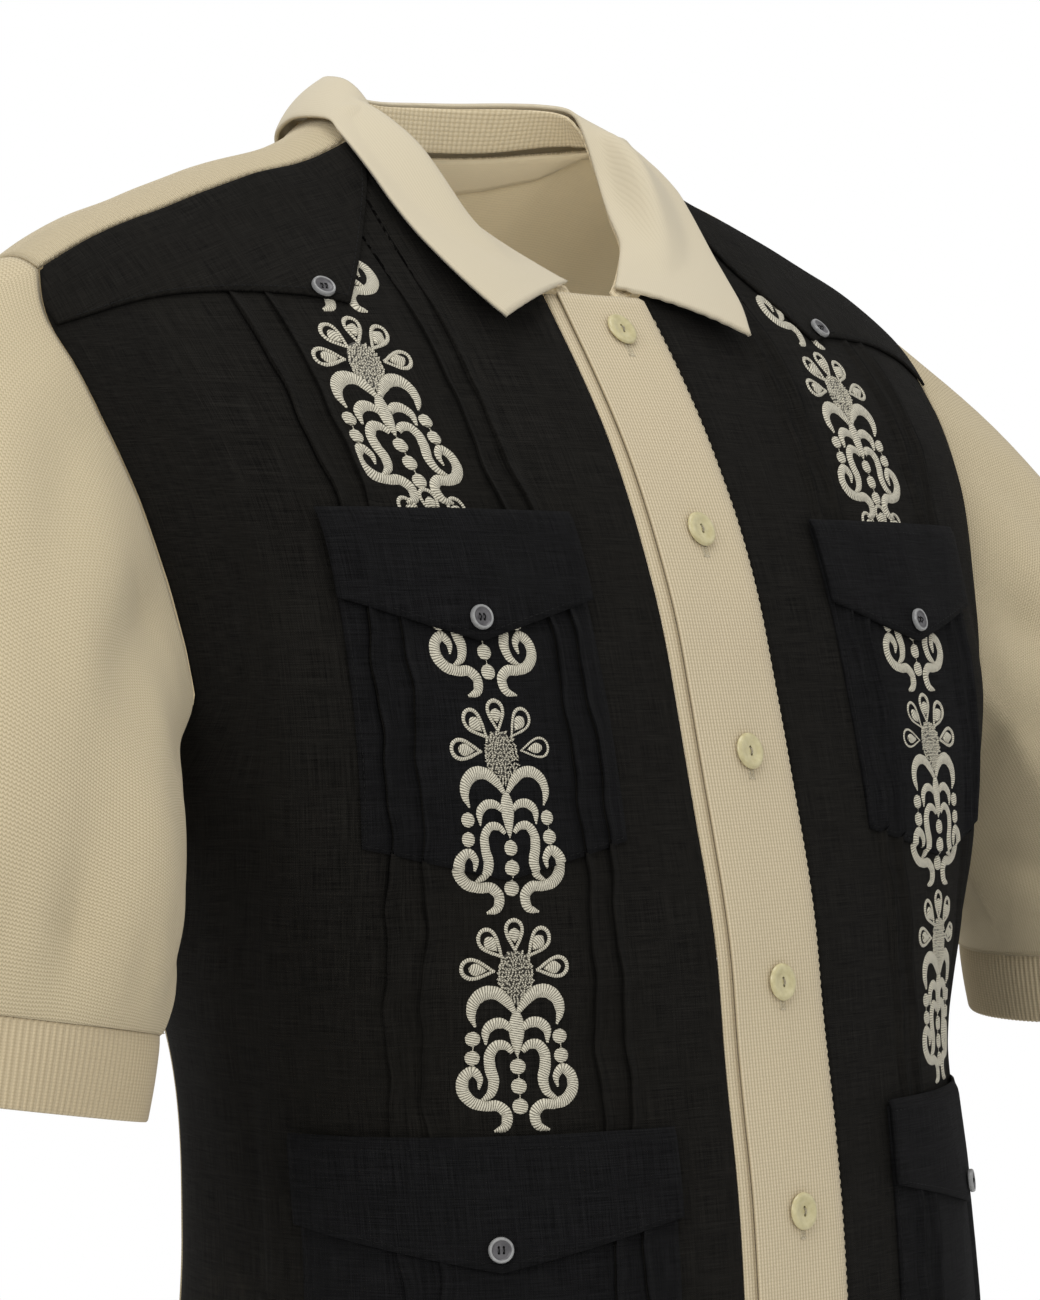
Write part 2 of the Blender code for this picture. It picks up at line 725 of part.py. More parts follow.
def lifted(points, least):
    """Move points out until they lie at least that far off the torso form."""
    out = points.copy()
    for index in np.ndindex(points.shape[:2]):
        x, y, z = points[index]
        front = y < float(torso(z, "side_line"))
        roll = FRONT_ROLL if front else BACK_ROLL
        depth = float(torso(z, "front_depth" if front else "back_depth"))
        power = float(torso(z, "squareness"))
        lateral = (1 - min(abs(x) / float(torso(z, "half_width")), 1.0) ** power) ** (1 / power)
        drop = float(ridge(x)) - z
        arm = np.array((y - float(torso(z, "side_line")), max(roll - drop, 0.0)))
        size = max(float(np.hypot(arm[0], arm[1])), 1e-6)
        reach = float(np.hypot(arm[0] / (depth * lateral), arm[1] / roll))
        need = size / max(reach, 1e-6) + least[index[0]]
        if size < need:
            grown = arm * need / size
            out[index] = (x, y + grown[0] - arm[0], z + grown[1] - arm[1])
    return out


def clear_of_stand(points, fold, foot, normal, gap):
    """Keep the leaf outside the line from the fold down to the foot of the stand."""
    line = foot - fold
    length = np.linalg.norm(line, axis=1, keepdims=True)
    line = line / length
    out = points.copy()
    for row in range(len(points)):
        along = np.sum((out[row] - fold) * line, axis=1, keepdims=True)
        height = np.sum((out[row] - fold - line * along) * normal, axis=1, keepdims=True)
        push = np.where(along < length * 1.15, np.maximum(gap - height, 0.0), 0.0)
        out[row] = out[row] + normal * push
    return out


LEAF_COLUMNS = ("share", "least_lift")
LEAF_ROWS = ((0.02, -30.0), (0.12, -30.0), (0.3, 3.4), (0.52, 4.4), (0.77, 4.4), (1.0, 4.0))


def build_collar():
    fold, foot, edge = (both_halves(half) for half in collar_rings())
    strip = np.array([foot + (fold - foot) * s for s in (0.06, 0.5, 0.9)])
    normal = outward(strip, grid_normals(strip))
    make_object("collar_stand", lambda bm: wall(bm, strip - normal * STAND_WALL, strip), BAND_CREAM)
    stand_normal = normal[1]
    shares = column(LEAF_ROWS, LEAF_COLUMNS, "share")
    leaf = np.array([fold + (edge - fold) * s for s in shares])
    normal = outward(leaf, grid_normals(leaf))
    leaf = leaf + normal * (0.6 + 4 * shares * (1 - shares) * COLLAR_ROLL)[:, None, None]
    leaf = lifted(leaf, column(LEAF_ROWS, LEAF_COLUMNS, "least_lift"))
    leaf = clear_of_stand(leaf, fold, foot, stand_normal, 1.0)
    normal = outward(leaf, grid_normals(leaf))
    make_object("collar", lambda bm: wall(bm, leaf, leaf + normal * KNIT), BAND_CREAM)


def armhole_ring(front, back, edge):
    """Inside edge points round an armhole, from the underarm up the front and down the back."""
    start = PANEL_LEVELS.index(int(UNDERARM))
    f = front[start:, -1]
    b = back[start:, edge]
    under = (f[0] + b[0]) / 2
    tip = (f[-1] + b[-1]) / 2
    return np.concatenate(([under], f[1:-1], [tip], b[-2:0:-1])), len(f) - 1


def build_sleeve(name, sign, front, back):
    edge = -1 if sign > 0 else 0
    inner, turn_index = armhole_ring(front[0], back[0], edge)
    outer, turn_index = armhole_ring(front[1], back[1], edge)
    normal = unit(outer - inner)
    tangent = unit(np.roll(inner, -1, axis=0) - np.roll(inner, 1, axis=0))
    away = unit(np.cross(normal, tangent))
    if away[len(away) // 2][0] * sign < 0:
        away = -away
    tilt = radians(CUFF_TILT)
    axis = np.array((sin(tilt) * sign, 0.0, -cos(tilt)))
    wide = np.array((cos(tilt) * sign, 0.0, sin(tilt)))
    fore = np.array((0.0, -1.0, 0.0))
    centre = np.array(CUFF_CENTRE) * np.array((sign, 1.0, 1.0))
    count = len(inner)
    step = np.linalg.norm(np.diff(np.concatenate((inner, inner[:1])), axis=0), axis=1)
    run = np.concatenate(([0.0], np.cumsum(step)))
    half = run[turn_index]
    angle = np.array([pi * run[k] / half if k <= turn_index
                      else pi + pi * (run[k] - half) / (run[-1] - half) for k in range(count)])
    share = (1 - np.cos(angle)) / 2
    under = np.clip(1 - share / 0.4, 0, 1)
    under = (under * under * (3 - 2 * under))[:, None]
    start = inner + away * 0.7 + normal * under * 4.6
    end = centre + CUFF_RADIUS * (-np.cos(angle)[:, None] * wide + np.sin(angle)[:, None] * fore) - axis * 0.5
    lead = unit(wide * (0.50 + 0.45 * share)[:, None] + fore * (0.60 * np.sin(angle))[:, None]
                + axis * (0.80 - 0.35 * share)[:, None])
    reach = np.linalg.norm(end - start, axis=1)[:, None]
    t0 = lead * reach * 1.05
    radial = -np.cos(angle)[:, None] * wide + np.sin(angle)[:, None] * fore
    t1 = (axis * 0.85 - radial * 0.34) * reach
    rows = []
    for t in SLEEVE_ROWS:
        p = ((1 + 2 * t) * (1 - t) ** 2 * start + t * (1 - t) ** 2 * t0
             + t * t * (3 - 2 * t) * end + t * t * (t - 1) * t1)
        rows.append(p)
    grid = np.array(rows)
    direction = grid_normals(grid, ring=True)
    middle = grid.mean(axis=1, keepdims=True)
    if np.mean(np.sum(direction * (grid - middle), axis=-1)) < 0:
        direction = -direction
    round_share = angle / tau
    for row, t in enumerate(SLEEVE_ROWS):
        depth = np.zeros(count)
        for place, drift, half_width, deep in SLEEVE_FOLDS:
            gap = (round_share - place - drift * t + 0.5) % 1.0 - 0.5
            depth += deep * np.exp(-(gap / half_width) ** 2)
        grid[row] = grid[row] + direction[row] * (depth * sin(pi * t) ** 0.8)[:, None]
    direction = grid_normals(grid, ring=True)
    if np.mean(np.sum(direction * (grid - middle), axis=-1)) < 0:
        direction = -direction
    direction[0] = unit(direction[0] * under + normal * (1 - under))
    direction[-1] = unit(direction[-1] - axis * np.sum(direction[-1] * axis, axis=-1, keepdims=True))
    make_object("sleeve_" + name, lambda bm: wall(bm, grid, grid + direction * KNIT, ring=True), CREAM)
    build_cuff(name, centre, axis, wide, fore)


def build_cuff(name, centre, axis, wide, fore):
    """Ribbed band round the end of a sleeve."""
    count = CUFF_RIBS * 2
    angle = np.array([tau * k / count for k in range(count)])
    radial = np.cos(angle)[:, None] * wide + np.sin(angle)[:, None] * fore
    rib = np.where(np.arange(count) % 2 == 0, RIB_HEIGHT, 0.0)[:, None]
    ends = []
    for place, radius in ((0.0, CUFF_RADIUS + 0.4), (CUFF_LENGTH, CUFF_RADIUS - 1.0)):
        core = centre + axis * (place + 0.3)
        ends.append((core + radial * radius, core + radial * (radius + 1.1 + rib)))
    inner = np.array([e[0] for e in ends])
    outer = np.array([e[1] for e in ends])
    make_object("cuff_" + name, lambda bm: wall(bm, inner, outer, ring=True), BAND_CREAM)


def main():
    clear_scene()
    back = build_back()
    build_neck_tape(back[0])
    fronts = build_fronts()
    build_bands()
    build_collar()
    for name, sign in (("left", 1), ("right", -1)):
        build_yoke(name, sign)
        build_sleeve(name, sign, fronts[name], back)
        place, normal = roll_frame(154.0 * sign, roll_at(154.0, -79.0, True))
        build_button("button_yoke_" + name, place + normal * (YOKE_LIFT + LINEN + 0.6), normal,
                     SMALL_BUTTON, DARK_BUTTON)
        for where, pocket in (("chest", CHEST_POCKET), ("lower", LOWER_POCKET)):
            build_pocket("pocket_" + where + "_" + name, sign, pocket)
            girth, level, lift = build_flap("flap_" + where + "_" + name, sign, pocket)
            place, normal = surface_frame(float(lean(girth, level)) * sign, level)
            build_button("button_" + where + "_" + name, place + normal * lift, normal,
                         SMALL_BUTTON, DARK_BUTTON)
    for number, level in enumerate(BAND_BUTTONS):
        place, normal = surface_frame(0.0, level)
        build_button("button_band_%d" % (number + 1), place + normal * (2.2 + KNIT + 0.5), normal,
                     BAND_BUTTON, PALE_BUTTON)


main()
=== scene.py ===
from math import cos, pi, radians, sin, tau

import bmesh
import bpy
import numpy as np
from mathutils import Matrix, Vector


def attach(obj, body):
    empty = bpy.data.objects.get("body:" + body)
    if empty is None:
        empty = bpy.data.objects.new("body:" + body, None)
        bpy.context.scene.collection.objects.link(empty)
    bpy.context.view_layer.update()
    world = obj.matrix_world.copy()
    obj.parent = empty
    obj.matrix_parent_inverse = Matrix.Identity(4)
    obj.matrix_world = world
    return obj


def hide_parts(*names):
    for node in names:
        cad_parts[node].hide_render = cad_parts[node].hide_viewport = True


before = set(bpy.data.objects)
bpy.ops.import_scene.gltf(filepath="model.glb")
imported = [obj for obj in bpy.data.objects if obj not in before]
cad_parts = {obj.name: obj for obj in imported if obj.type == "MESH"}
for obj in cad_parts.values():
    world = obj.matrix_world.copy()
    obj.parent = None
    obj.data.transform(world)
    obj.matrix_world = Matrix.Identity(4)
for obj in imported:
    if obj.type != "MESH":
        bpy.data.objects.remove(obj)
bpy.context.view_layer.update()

# The short-sleeved embroidered shirt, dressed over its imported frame. Sizes are in millimetres,
# +X is the wearer's left, -Y the front, +Z up, with the origin at the centre of the neck.
MM = 0.001

LINEN = 1.2
KNIT = 1.8
SEAM = 0.5
LAYER = 0.4

# Torso form, one row for each level
TORSO_COLUMNS = ("level", "half_width", "squareness", "side_line", "front_depth", "back_depth")
TORSO = (
    (60, 300, 2.40, 2, 48, 60),
    (0, 300, 2.40, 0, 53, 72),
    (-50, 296, 2.40, -5, 61, 94),
    (-80, 290, 2.40, -11, 74, 102),
    (-110, 284, 2.50, -17, 87, 108),
    (-134, 278, 2.50, -24, 94, 113),
    (-165, 270, 2.50, -34, 99, 119),
    (-200, 259, 2.55, -44, 102, 124),
    (-244, 249, 2.60, -53, 105, 127),
    (-300, 229, 2.50, -60, 111, 127),
    (-340, 208, 2.45, -63, 116, 125),
    (-386, 190, 2.40, -67, 118, 123),
    (-470, 189, 2.40, -79, 116, 123),
    (-560, 198, 2.40, -83, 117, 130),
    (-720, 210, 2.40, -83, 120, 134),
)
FRONT_ROLL = 100.0
BACK_ROLL = 90.0
SHOULDER_COLUMNS = ("across", "height")
SHOULDER = (
    (0, 45), (40, 38), (65, 22), (85, 5), (110, -8), (150, -20),
    (200, -38), (240, -54), (262, -66), (300, -90),
)
FOLD_COLUMNS = ("side", "girth", "start", "half_width", "depth")
FOLDS = (
    ("front", 238, -330, 20, 4.0),
    ("front", -242, -300, 22, 4.5),
    ("front", 205, -520, 16, 2.5),
    ("front", -208, -480, 17, 2.5),
    ("back", 60, -300, 26, 4.5),
    ("back", -48, -340, 24, 4.0),
    ("back", 165, -260, 28, 5.0),
    ("back", -172, -240, 30, 5.0),
)
# Soft creases pressed or pulled into the cloth, deepest at their middle
CREASE_COLUMNS = ("side", "girth", "height", "turn", "length", "width", "depth")
CREASES = (
    ("front", -228, -205, 62, 46, 9, -1.8),
    ("front", -212, -240, 70, 60, 11, 1.3),
    ("front", -246, -330, 84, 90, 13, -2.2),
    ("front", -222, -420, 80, 70, 10, -1.4),
    ("front", -40, -250, 96, 90, 16, -0.9),
    ("front", -52, -400, 86, 80, 14, 1.0),
    ("front", -150, -130, 40, 34, 12, -0.8),
    ("front", -205, -640, 76, 60, 14, 2.0),
    ("front", -120, -640, 94, 60, 16, -1.6),
    ("front", 224, -212, 118, 50, 10, -1.6),
    ("front", 240, -320, 97, 90, 13, -2.0),
    ("front", 216, -430, 102, 66, 11, 1.3),
    ("front", 46, -300, 84, 100, 15, 0.9),
    ("front", 56, -470, 95, 80, 14, -1.1),
    ("front", 150, -128, 138, 34, 12, -0.8),
    ("front", 196, -640, 102, 60, 14, 2.0),
    ("front", 118, -650, 86, 60, 16, -1.6),
    ("back", -150, -190, 60, 80, 16, -2.2),
    ("back", 150, -200, 120, 84, 16, -2.2),
    ("back", -90, -330, 78, 120, 18, 2.0),
    ("back", 100, -360, 100, 120, 18, 2.0),
    ("back", 8, -240, 91, 150, 20, -1.6),
    ("back", -210, -300, 74, 90, 15, 2.4),
    ("back", 214, -310, 106, 90, 15, 2.4),
    ("back", -20, -560, 84, 110, 22, 2.6),
    ("back", 120, -600, 95, 90, 20, -2.6),
    ("back", -130, -590, 87, 90, 20, -2.4),
)

NECK_COLUMNS = ("across", "height")
NECK_FRONT = (
    (83, -4), (80, -14), (73, -29), (63, -43), (51, -55), (38, -64), (26, -71), (14, -75), (0, -77),
)
NECK_BACK = ((0, 2), (22, 2.3), (44, 3.2), (62, 4.6), (74, 5.5), (81, 5.5))
SHOULDER_SEAM_DROP = 8.0
TAPE_SHARE = 0.375
SHOULDER_TIP = 262.0
UNDERARM = -280.0
SIDE_WRAP = 82.0
ARMHOLE_COLUMNS = ("height", "front_across", "back_across")
ARMHOLE = (
    (-262, 241.4, 241.4), (-244, 240, 240), (-224, 243, 243), (-200, 247, 246),
    (-165, 255, 252), (-134, 262, 258), (-110, 266, 262),
)
HEM = -700.0
UPPER = -110.0
BAND_HALF = 28.0
UNDER_BAND = (-34.0, 21.0)
BAND_LIFT = 2.2
BAND_TOP = -73.0
TUCKS = (85.0, 98.0, 170.0, 184.0)
TUCK_RISE = 2.3
TUCK_OVERHANG = 2.0
CHEST_PULL = 12.0
LAST_LINE = 224.0

YOKE_COLUMNS = ("across", "height")
YOKE_LOWER = ((144, -84), (160, -81.5), (190, -81), (216, -83), (240, -88), (265, -96))
YOKE_NECK_SIDE = 87.0
YOKE_BOW = 11.0
YOKE_LIFT = LINEN + LAYER + 0.3

POCKET_COLUMNS = ("inner", "outer", "top", "corner", "point")
CHEST_POCKET = (76.0, 196.0, -172.0, -302.0, -316.0)
LOWER_POCKET = (69.0, 228.0, -420.0, -566.0, -580.0)
FLAP_DEPTH = 36.0
FLAP_POINT = 17.0
FLAP_SIDE = 1.5
FLAP_RISE = 3.0
FLAP_LIFT = 2 * (LINEN + LAYER) + 1.2

BAND_BUTTON = 15.6
SMALL_BUTTON = 10.4
YOKE_BUTTON = (154.0, -79.0)
BAND_BUTTONS = (-89.0, -175.0, -268.0, -363.0, -457.0, -551.0, -645.0)

COLLAR_COLUMNS = ("fold_across", "fold_depth", "fold_height", "base_across", "base_height",
                  "edge_across", "edge_height", "edge_lift", "base_front")
COLLAR = (
    (0, 58, 26, 0, 3.5, 0, -5, 4.0, 0),
    (22, 55, 27, 22, 3.8, 29.5, -5.5, 4.0, 0),
    (41, 47, 27.5, 43, 4.7, 52, -5, 4.0, 0),
    (56, 33, 27.5, 59, 6.2, 67.5, -2.5, 4.0, 0),
    (65, 18, 26, 71, 8.0, 79, 0, 4.2, 0),
    (68, 5, 22.5, 78, 8.5, 88, 1.5, 4.6, 0),
    (67.5, -2, 15.5, 80.5, 5.5, 93, -1.5, 5.0, 1),
    (66, -9, 4.5, 80.5, 1.0, 96.5, -7.5, 5.2, 1),
    (63, -18, -11, 79, -7, 98, -18, 5.4, 1),
    (57, -28, -23, 76, -17, 97, -28, 5.4, 1),
    (51.5, -37, -32, 71, -27, 95.5, -39, 5.6, 1),
    (44, -50, -44, 62.5, -39, 93, -51, 6.0, 1),
    (34, -59, -53, 49.5, -52, 90, -62, 6.6, 1),
    (23, -68, -61, 33, -64.5, 84.5, -77, 8.0, 1),
    (14, -75, -67, 14, -73.5, 76, -92, 10.5, 1),
)
LEAF_COLUMNS = ("share", "least_lift")
LEAF_ROWS = ((0.02, -30.0), (0.12, -30.0), (0.3, 3.4), (0.52, 4.4), (0.77, 4.4), (1.0, 4.0))
COLLAR_ROLL = 3.0

CUFF_CENTRE = (332.0, -90.0, -362.0)
CUFF_TILT = 9.0
CUFF_RADIUS = 58.0
CUFF_LENGTH = 33.0
CUFF_RIBS = 150
RIB_PITCH = 2.4
SLEEVE_GIRTH = 400.0
ARMHOLE_GAP = 0.7
UNDERARM_EASE = 4.6
SLEEVE_FOLD_COLUMNS = ("round", "drift", "half_width", "depth")
SLEEVE_FOLDS = ((0.20, 0.10, 0.035, -4.0), (0.36, -0.06, 0.04, -3.5), (0.62, 0.05, 0.04, -4.0),
                (0.80, -0.08, 0.045, -4.5), (0.50, 0.04, 0.03, -2.5))
SLEEVE_CREASE_COLUMNS = ("round", "along", "turn", "length", "width", "depth")
SLEEVE_CREASES = (
    (0.15, 0.30, 24, 80, 11, -4.2), (0.20, 0.58, 10, 100, 12, 3.4), (0.27, 0.40, 14, 90, 11, -3.4),
    (0.40, 0.60, 8, 60, 12, -2.0), (0.10, 0.70, 26, 60, 10, -3.4), (0.30, 0.86, 4, 30, 8, -2.2),
    (0.22, 0.90, -6, 26, 7, -2.2), (0.36, 0.88, 8, 26, 7, -2.0), (0.13, 0.90, 2, 26, 7, 1.8),
    (0.58, 0.44, -14, 70, 12, -2.4), (0.68, 0.60, -20, 70, 12, 2.6), (0.78, 0.36, -26, 64, 11, -3.0),
    (0.90, 0.60, -34, 46, 10, -2.2), (0.66, 0.89, 4, 26, 7, -2.0), (0.76, 0.90, -4, 26, 7, 1.8),
)


# Shape of the torso

def column(table, columns, name):
    place = columns.index(name)
    return np.array([row[place] for row in table], dtype=float)


def smooth(position, places, values):
    """Cubic curve through a table, flat outside its ends."""
    if places[0] > places[-1]:
        places = places[::-1]
        values = values[::-1]
    slope = np.gradient(values, places)
    q = np.clip(np.asarray(position, dtype=float), places[0], places[-1])
    k = np.clip(np.searchsorted(places, q, side="right") - 1, 0, len(places) - 2)
    width = places[k + 1] - places[k]
    t = (q - places[k]) / width
    return ((1 + 2 * t) * (1 - t) ** 2 * values[k] + t * (1 - t) ** 2 * width * slope[k]
            + t * t * (3 - 2 * t) * values[k + 1] + t * t * (t - 1) * width * slope[k + 1])


def ease(q):
    q = np.clip(q, 0.0, 1.0)
    return q * q * (3 - 2 * q)


LEVEL_LIST = np.arange(-760.0, 81.0, 1.0)
TORSO_LEVELS = column(TORSO, TORSO_COLUMNS, "level")
TORSO_CURVES = {name: smooth(LEVEL_LIST, TORSO_LEVELS, column(TORSO, TORSO_COLUMNS, name))
                for name in TORSO_COLUMNS[1:]}


def torso(level, name):
    return np.interp(level, LEVEL_LIST, TORSO_CURVES[name])


def ridge(across):
    return smooth(np.abs(across), column(SHOULDER, SHOULDER_COLUMNS, "across"),
                  column(SHOULDER, SHOULDER_COLUMNS, "height"))


def form_y(across, level, front, lateral):
    drop = ridge(across) - level
    roll = FRONT_ROLL if front else BACK_ROLL
    q = np.clip(drop / roll, 0.0, 1.0)
    depth = -torso(level, "front_depth") if front else torso(level, "back_depth")
    return torso(level, "side_line") + depth * lateral * np.sqrt(q * (2.0 - q))


TURN = np.linspace(0.0, pi / 2, 361)
LEVELS = np.arange(-730.0, -39.0, 3.0)
SHARES = np.linspace(0.0, 1.0, 601)


def ring_table(front):
    """Girth of the form's side line for each level, and the turn at each share of that girth."""
    power = torso(LEVELS, "squareness")[:, None]
    across = torso(LEVELS, "half_width")[:, None] * np.sin(TURN)[None] ** (2.0 / power)
    lateral = np.cos(TURN)[None].clip(0) ** (2.0 / power)
    y = form_y(across, np.broadcast_to(LEVELS[:, None], across.shape), front, lateral)
    run = np.cumsum(np.hypot(np.diff(across, axis=1), np.diff(y, axis=1)), axis=1)
    run = np.concatenate((np.zeros((len(LEVELS), 1)), run), axis=1)
    turns = np.array([np.interp(SHARES * row[-1], row, TURN) for row in run])
    return run[:, -1], turns, run


RING = {True: ring_table(True), False: ring_table(False)}


def side_girth(level, front):
    return np.interp(level, LEVELS, RING[front][0])


def turn_at(girth, level, front):
    """Turn round the form where the girth from the centre line is reached."""
    share = np.clip(np.abs(girth) / side_girth(level, front), 0.0, 1.0) * (len(SHARES) - 1)
    place = np.clip((level - LEVELS[0]) / 3.0, 0, len(LEVELS) - 1.001)
    k = place.astype(int)
    j = np.minimum(share.astype(int), len(SHARES) - 2)
    a = place - k
    b = share - j
    table = RING[front][1]
    return ((table[k, j] * (1 - b) + table[k, j + 1] * b) * (1 - a)
            + (table[k + 1, j] * (1 - b) + table[k + 1, j + 1] * b) * a)


def girth_at(across, level, front):
    """Girth from the centre line to a place across the form."""
    power = float(torso(level, "squareness"))
    ratio = min(abs(across) / float(torso(level, "half_width")), 1.0)
    turn = np.arcsin(min(ratio ** (power / 2.0), 1.0))
    p = min(max((float(level) - LEVELS[0]) / 3.0, 0), len(LEVELS) - 1.001)
    k = int(p)
    run = RING[front][2]
    return float(np.interp(turn, TURN, run[k] * (1 - p + k) + run[k + 1] * (p - k)))


def by_girth(girth, level, front):
    turn = turn_at(girth, level, front)
    power = torso(level, "squareness")
    across = torso(level, "half_width") * np.sin(turn) ** (2.0 / power)
    y = form_y(across, level, front, np.cos(turn).clip(0) ** (2.0 / power))
    return np.stack((across * np.where(girth < 0, -1.0, 1.0), y, level), axis=-1)


def wrap(level):
    """How far a front reaches past the side line, towards the back."""
    return SIDE_WRAP * ease((UNDERARM - np.asarray(level, float)) / 110.0)


def past_side(girth, level, front):
    limit = side_girth(level, front)
    return np.abs(girth) > limit, np.sign(girth) * (side_girth(level, not front) - (np.abs(girth) - limit))


def form_point(girth, level, front):
    over, other = past_side(girth, level, front)
    point = by_girth(girth, level, front)
    if over.any():
        point = np.where(over[..., None], by_girth(other, level, not front), point)
    return point


def unit(vectors):
    return vectors / np.maximum(np.linalg.norm(vectors, axis=-1, keepdims=True), 1e-9)


def run_along(points):
    """Distance from the first of a row of points to each of them."""
    return np.concatenate(([0.0], np.cumsum(np.linalg.norm(np.diff(points, axis=0), axis=1))))


def paired(one, other):
    return np.stack(np.broadcast_arrays(one, other), axis=-1)


def fold_depth(girth, level, front):
    total = np.zeros(girth.shape)
    for side, centre, start, half, depth in FOLDS:
        if (side == "front") == front:
            total = total + depth * ease((start - level) / 260.0) * np.exp(-((girth - centre) / half) ** 2)
    return total


def crease_depth(girth, height, front):
    """Depth of the soft creases, and a faint unevenness all over."""
    total = np.zeros(girth.shape)
    for side, centre, middle, turn, length, width, depth in CREASES:
        if (side == "front") == front:
            a = radians(turn)
            dx = girth - centre
            dy = height - middle
            along = dx * cos(a) + dy * sin(a)
            cross = -dx * sin(a) + dy * cos(a) + 0.0016 * along * along
            total = total + depth * np.exp(-(cross / width) ** 2 - (along / length) ** 2)
    ripple = (np.sin(girth * 0.071 + height * 0.013 + 0.7 * np.sin(height * 0.031))
              + np.sin(height * 0.057 - girth * 0.021 + 1.3)
              + 0.6 * np.sin(girth * 0.16 + 1.9 * np.sin(height * 0.043)))
    return total + ripple * (0.22 if front else 0.3)


def body_point(girth, level, front, off):
    """Point on the body cloth, moved out of the form by folds, creases and off."""
    girth, level, off = np.broadcast_arrays(np.asarray(girth, float), np.asarray(level, float),
                                            np.asarray(off, float))
    point = form_point(girth, level, front)
    d = 1.5
    along = form_point(girth + d, level, front) - form_point(girth - d, level, front)
    up = form_point(girth, level + d, front) - form_point(girth, level - d, front)
    normal = unit(np.cross(along, up)) * (1.0 if front else -1.0)
    over, other = past_side(girth, level, front)
    fold = np.where(over, fold_depth(other, level, not front), fold_depth(girth, level, front))
    crease = crease_depth(girth, level, front)
    limit = side_girth(level, front)
    if not front:
        reach = limit - wrap(level)
        crease = crease * ease((reach - np.abs(girth)) / 30.0)
    else:
        crease = crease * ease((limit + wrap(level) - np.abs(girth)) / 30.0)
    return point + normal * (off + fold + crease)[..., None]


def roll_at(across, level, front):
    radius = FRONT_ROLL if front else BACK_ROLL
    drop = np.maximum(ridge(across) - level, 0.0)
    near = radius * np.arccos(np.clip(1 - drop / radius, 0, 1))
    roll = np.where(drop >= radius, radius * pi / 2 + drop - radius, near)
    return -roll if front else roll


def roll_point(across, roll, off):
    """Point on the shoulder part of the form. Roll is measured over the ridge, back side positive."""
    across, roll, off = np.broadcast_arrays(np.asarray(across, float), np.asarray(roll, float),
                                            np.asarray(off, float))

    def bare(x, r):
        radius = np.where(r < 0, FRONT_ROLL, BACK_ROLL)
        angle = np.clip(np.abs(r) / radius, 0, pi / 2)
        drop = radius * (1 - np.cos(angle)) + np.maximum(np.abs(r) - radius * pi / 2, 0)
        level = ridge(x) - drop
        power = torso(level, "squareness")
        ratio = np.clip(np.abs(x) / torso(level, "half_width"), 0.0, 1.0)
        lateral = (1.0 - ratio ** power) ** (1.0 / power)
        depth = np.where(r < 0, -torso(level, "front_depth"), torso(level, "back_depth"))
        y = torso(level, "side_line") + depth * lateral * np.sin(angle)
        return np.stack((x, y, level), axis=-1)

    d = 1.0
    along = bare(across + d, roll) - bare(across - d, roll)
    over = bare(across, roll - d) - bare(across, roll + d)
    normal = unit(np.cross(over, along))
    base = roll_at(across, UPPER, True)
    front_crease = crease_depth(across, UPPER + roll - base, True)
    back_crease = crease_depth(across, UPPER - (roll - roll_at(across, UPPER, False)), False)
    crease = np.where(roll < 0, front_crease, back_crease) * ease(np.abs(roll + 12) / 40.0)
    crease = crease * ease((SHOULDER_TIP + 4 - np.abs(across)) / 26.0)
    return bare(across, roll) + normal * (off + crease)[..., None]


def lean(girth, level):
    """The cloth's upright lines lean out a little towards the shoulder."""
    return girth * (1.0 + 0.07 * ease((np.asarray(level, float) + 190.0) / 110.0))


def armhole_table(front):
    heights = np.concatenate(([UNDERARM], column(ARMHOLE, ARMHOLE_COLUMNS, "height")))
    name = "front_across" if front else "back_across"
    girths = [float(side_girth(UNDERARM, front)) - SEAM]
    for height, x in zip(heights[1:], column(ARMHOLE, ARMHOLE_COLUMNS, name)):
        girths.append(girth_at(x, height, front))
    return heights, np.array(girths)


ARMHOLE_GIRTHS = {True: armhole_table(True), False: armhole_table(False)}


def armhole_girth(level, front):
    """Girth of a panel's side edge at each level: the side seam, then the armhole."""
    level = np.asarray(level, float)
    seam = side_girth(level, front) + wrap(level) * (1 if front else -1) - SEAM
    heights, girths = ARMHOLE_GIRTHS[front]
    return np.where(level <= UNDERARM, seam, np.interp(level, heights, girths))


def across_at(girth, level, front):
    return np.abs(by_girth(np.asarray(girth, float), np.full(np.shape(girth), float(level)), front)[..., 0])


def front_top(across):
    """Top edge of a front panel: the neckline, then the shoulder seam."""
    neck = smooth(-np.abs(across), -column(NECK_FRONT, NECK_COLUMNS, "across"),
                  column(NECK_FRONT, NECK_COLUMNS, "height"))
    return np.where(across < 84.0, roll_at(across, neck, True),
                    roll_at(across, ridge(across) - SHOULDER_SEAM_DROP, True))


def front_cloth(girth, height, off, sign):
    """Point on a front. Height is a level up to the upper chest, then runs on along the cloth."""
    girth, height, off = np.broadcast_arrays(np.asarray(girth, float), np.asarray(height, float),
                                             np.asarray(off, float))
    level = np.minimum(height, UPPER)
    point = body_point(lean(girth, level) * sign, level, True, off)
    high = height > UPPER
    if high.any():
        start = across_at(lean(girth[high], UPPER), UPPER, True)
        end = start * (1.0 + 0.02 * np.minimum(start, 150) / 150)
        low_roll = roll_at(start, UPPER, True)
        roll = low_roll + height[high] - UPPER
        t = (height[high] - UPPER) / (front_top(end) - low_roll)
        x = start + (end - start) * t
        point[high] = roll_point(x * sign, roll, off[high])
    return point


# Making pieces of cloth

def lines_between(low, high, step):
    return np.linspace(low, high, max(2, int(round((high - low) / step)) + 1))


def grid_normals(points, ring=False):
    if ring:
        along = np.roll(points, -1, axis=1) - np.roll(points, 1, axis=1)
    else:
        along = np.gradient(points, axis=1)
    return unit(np.cross(along, np.gradient(points, axis=0)))


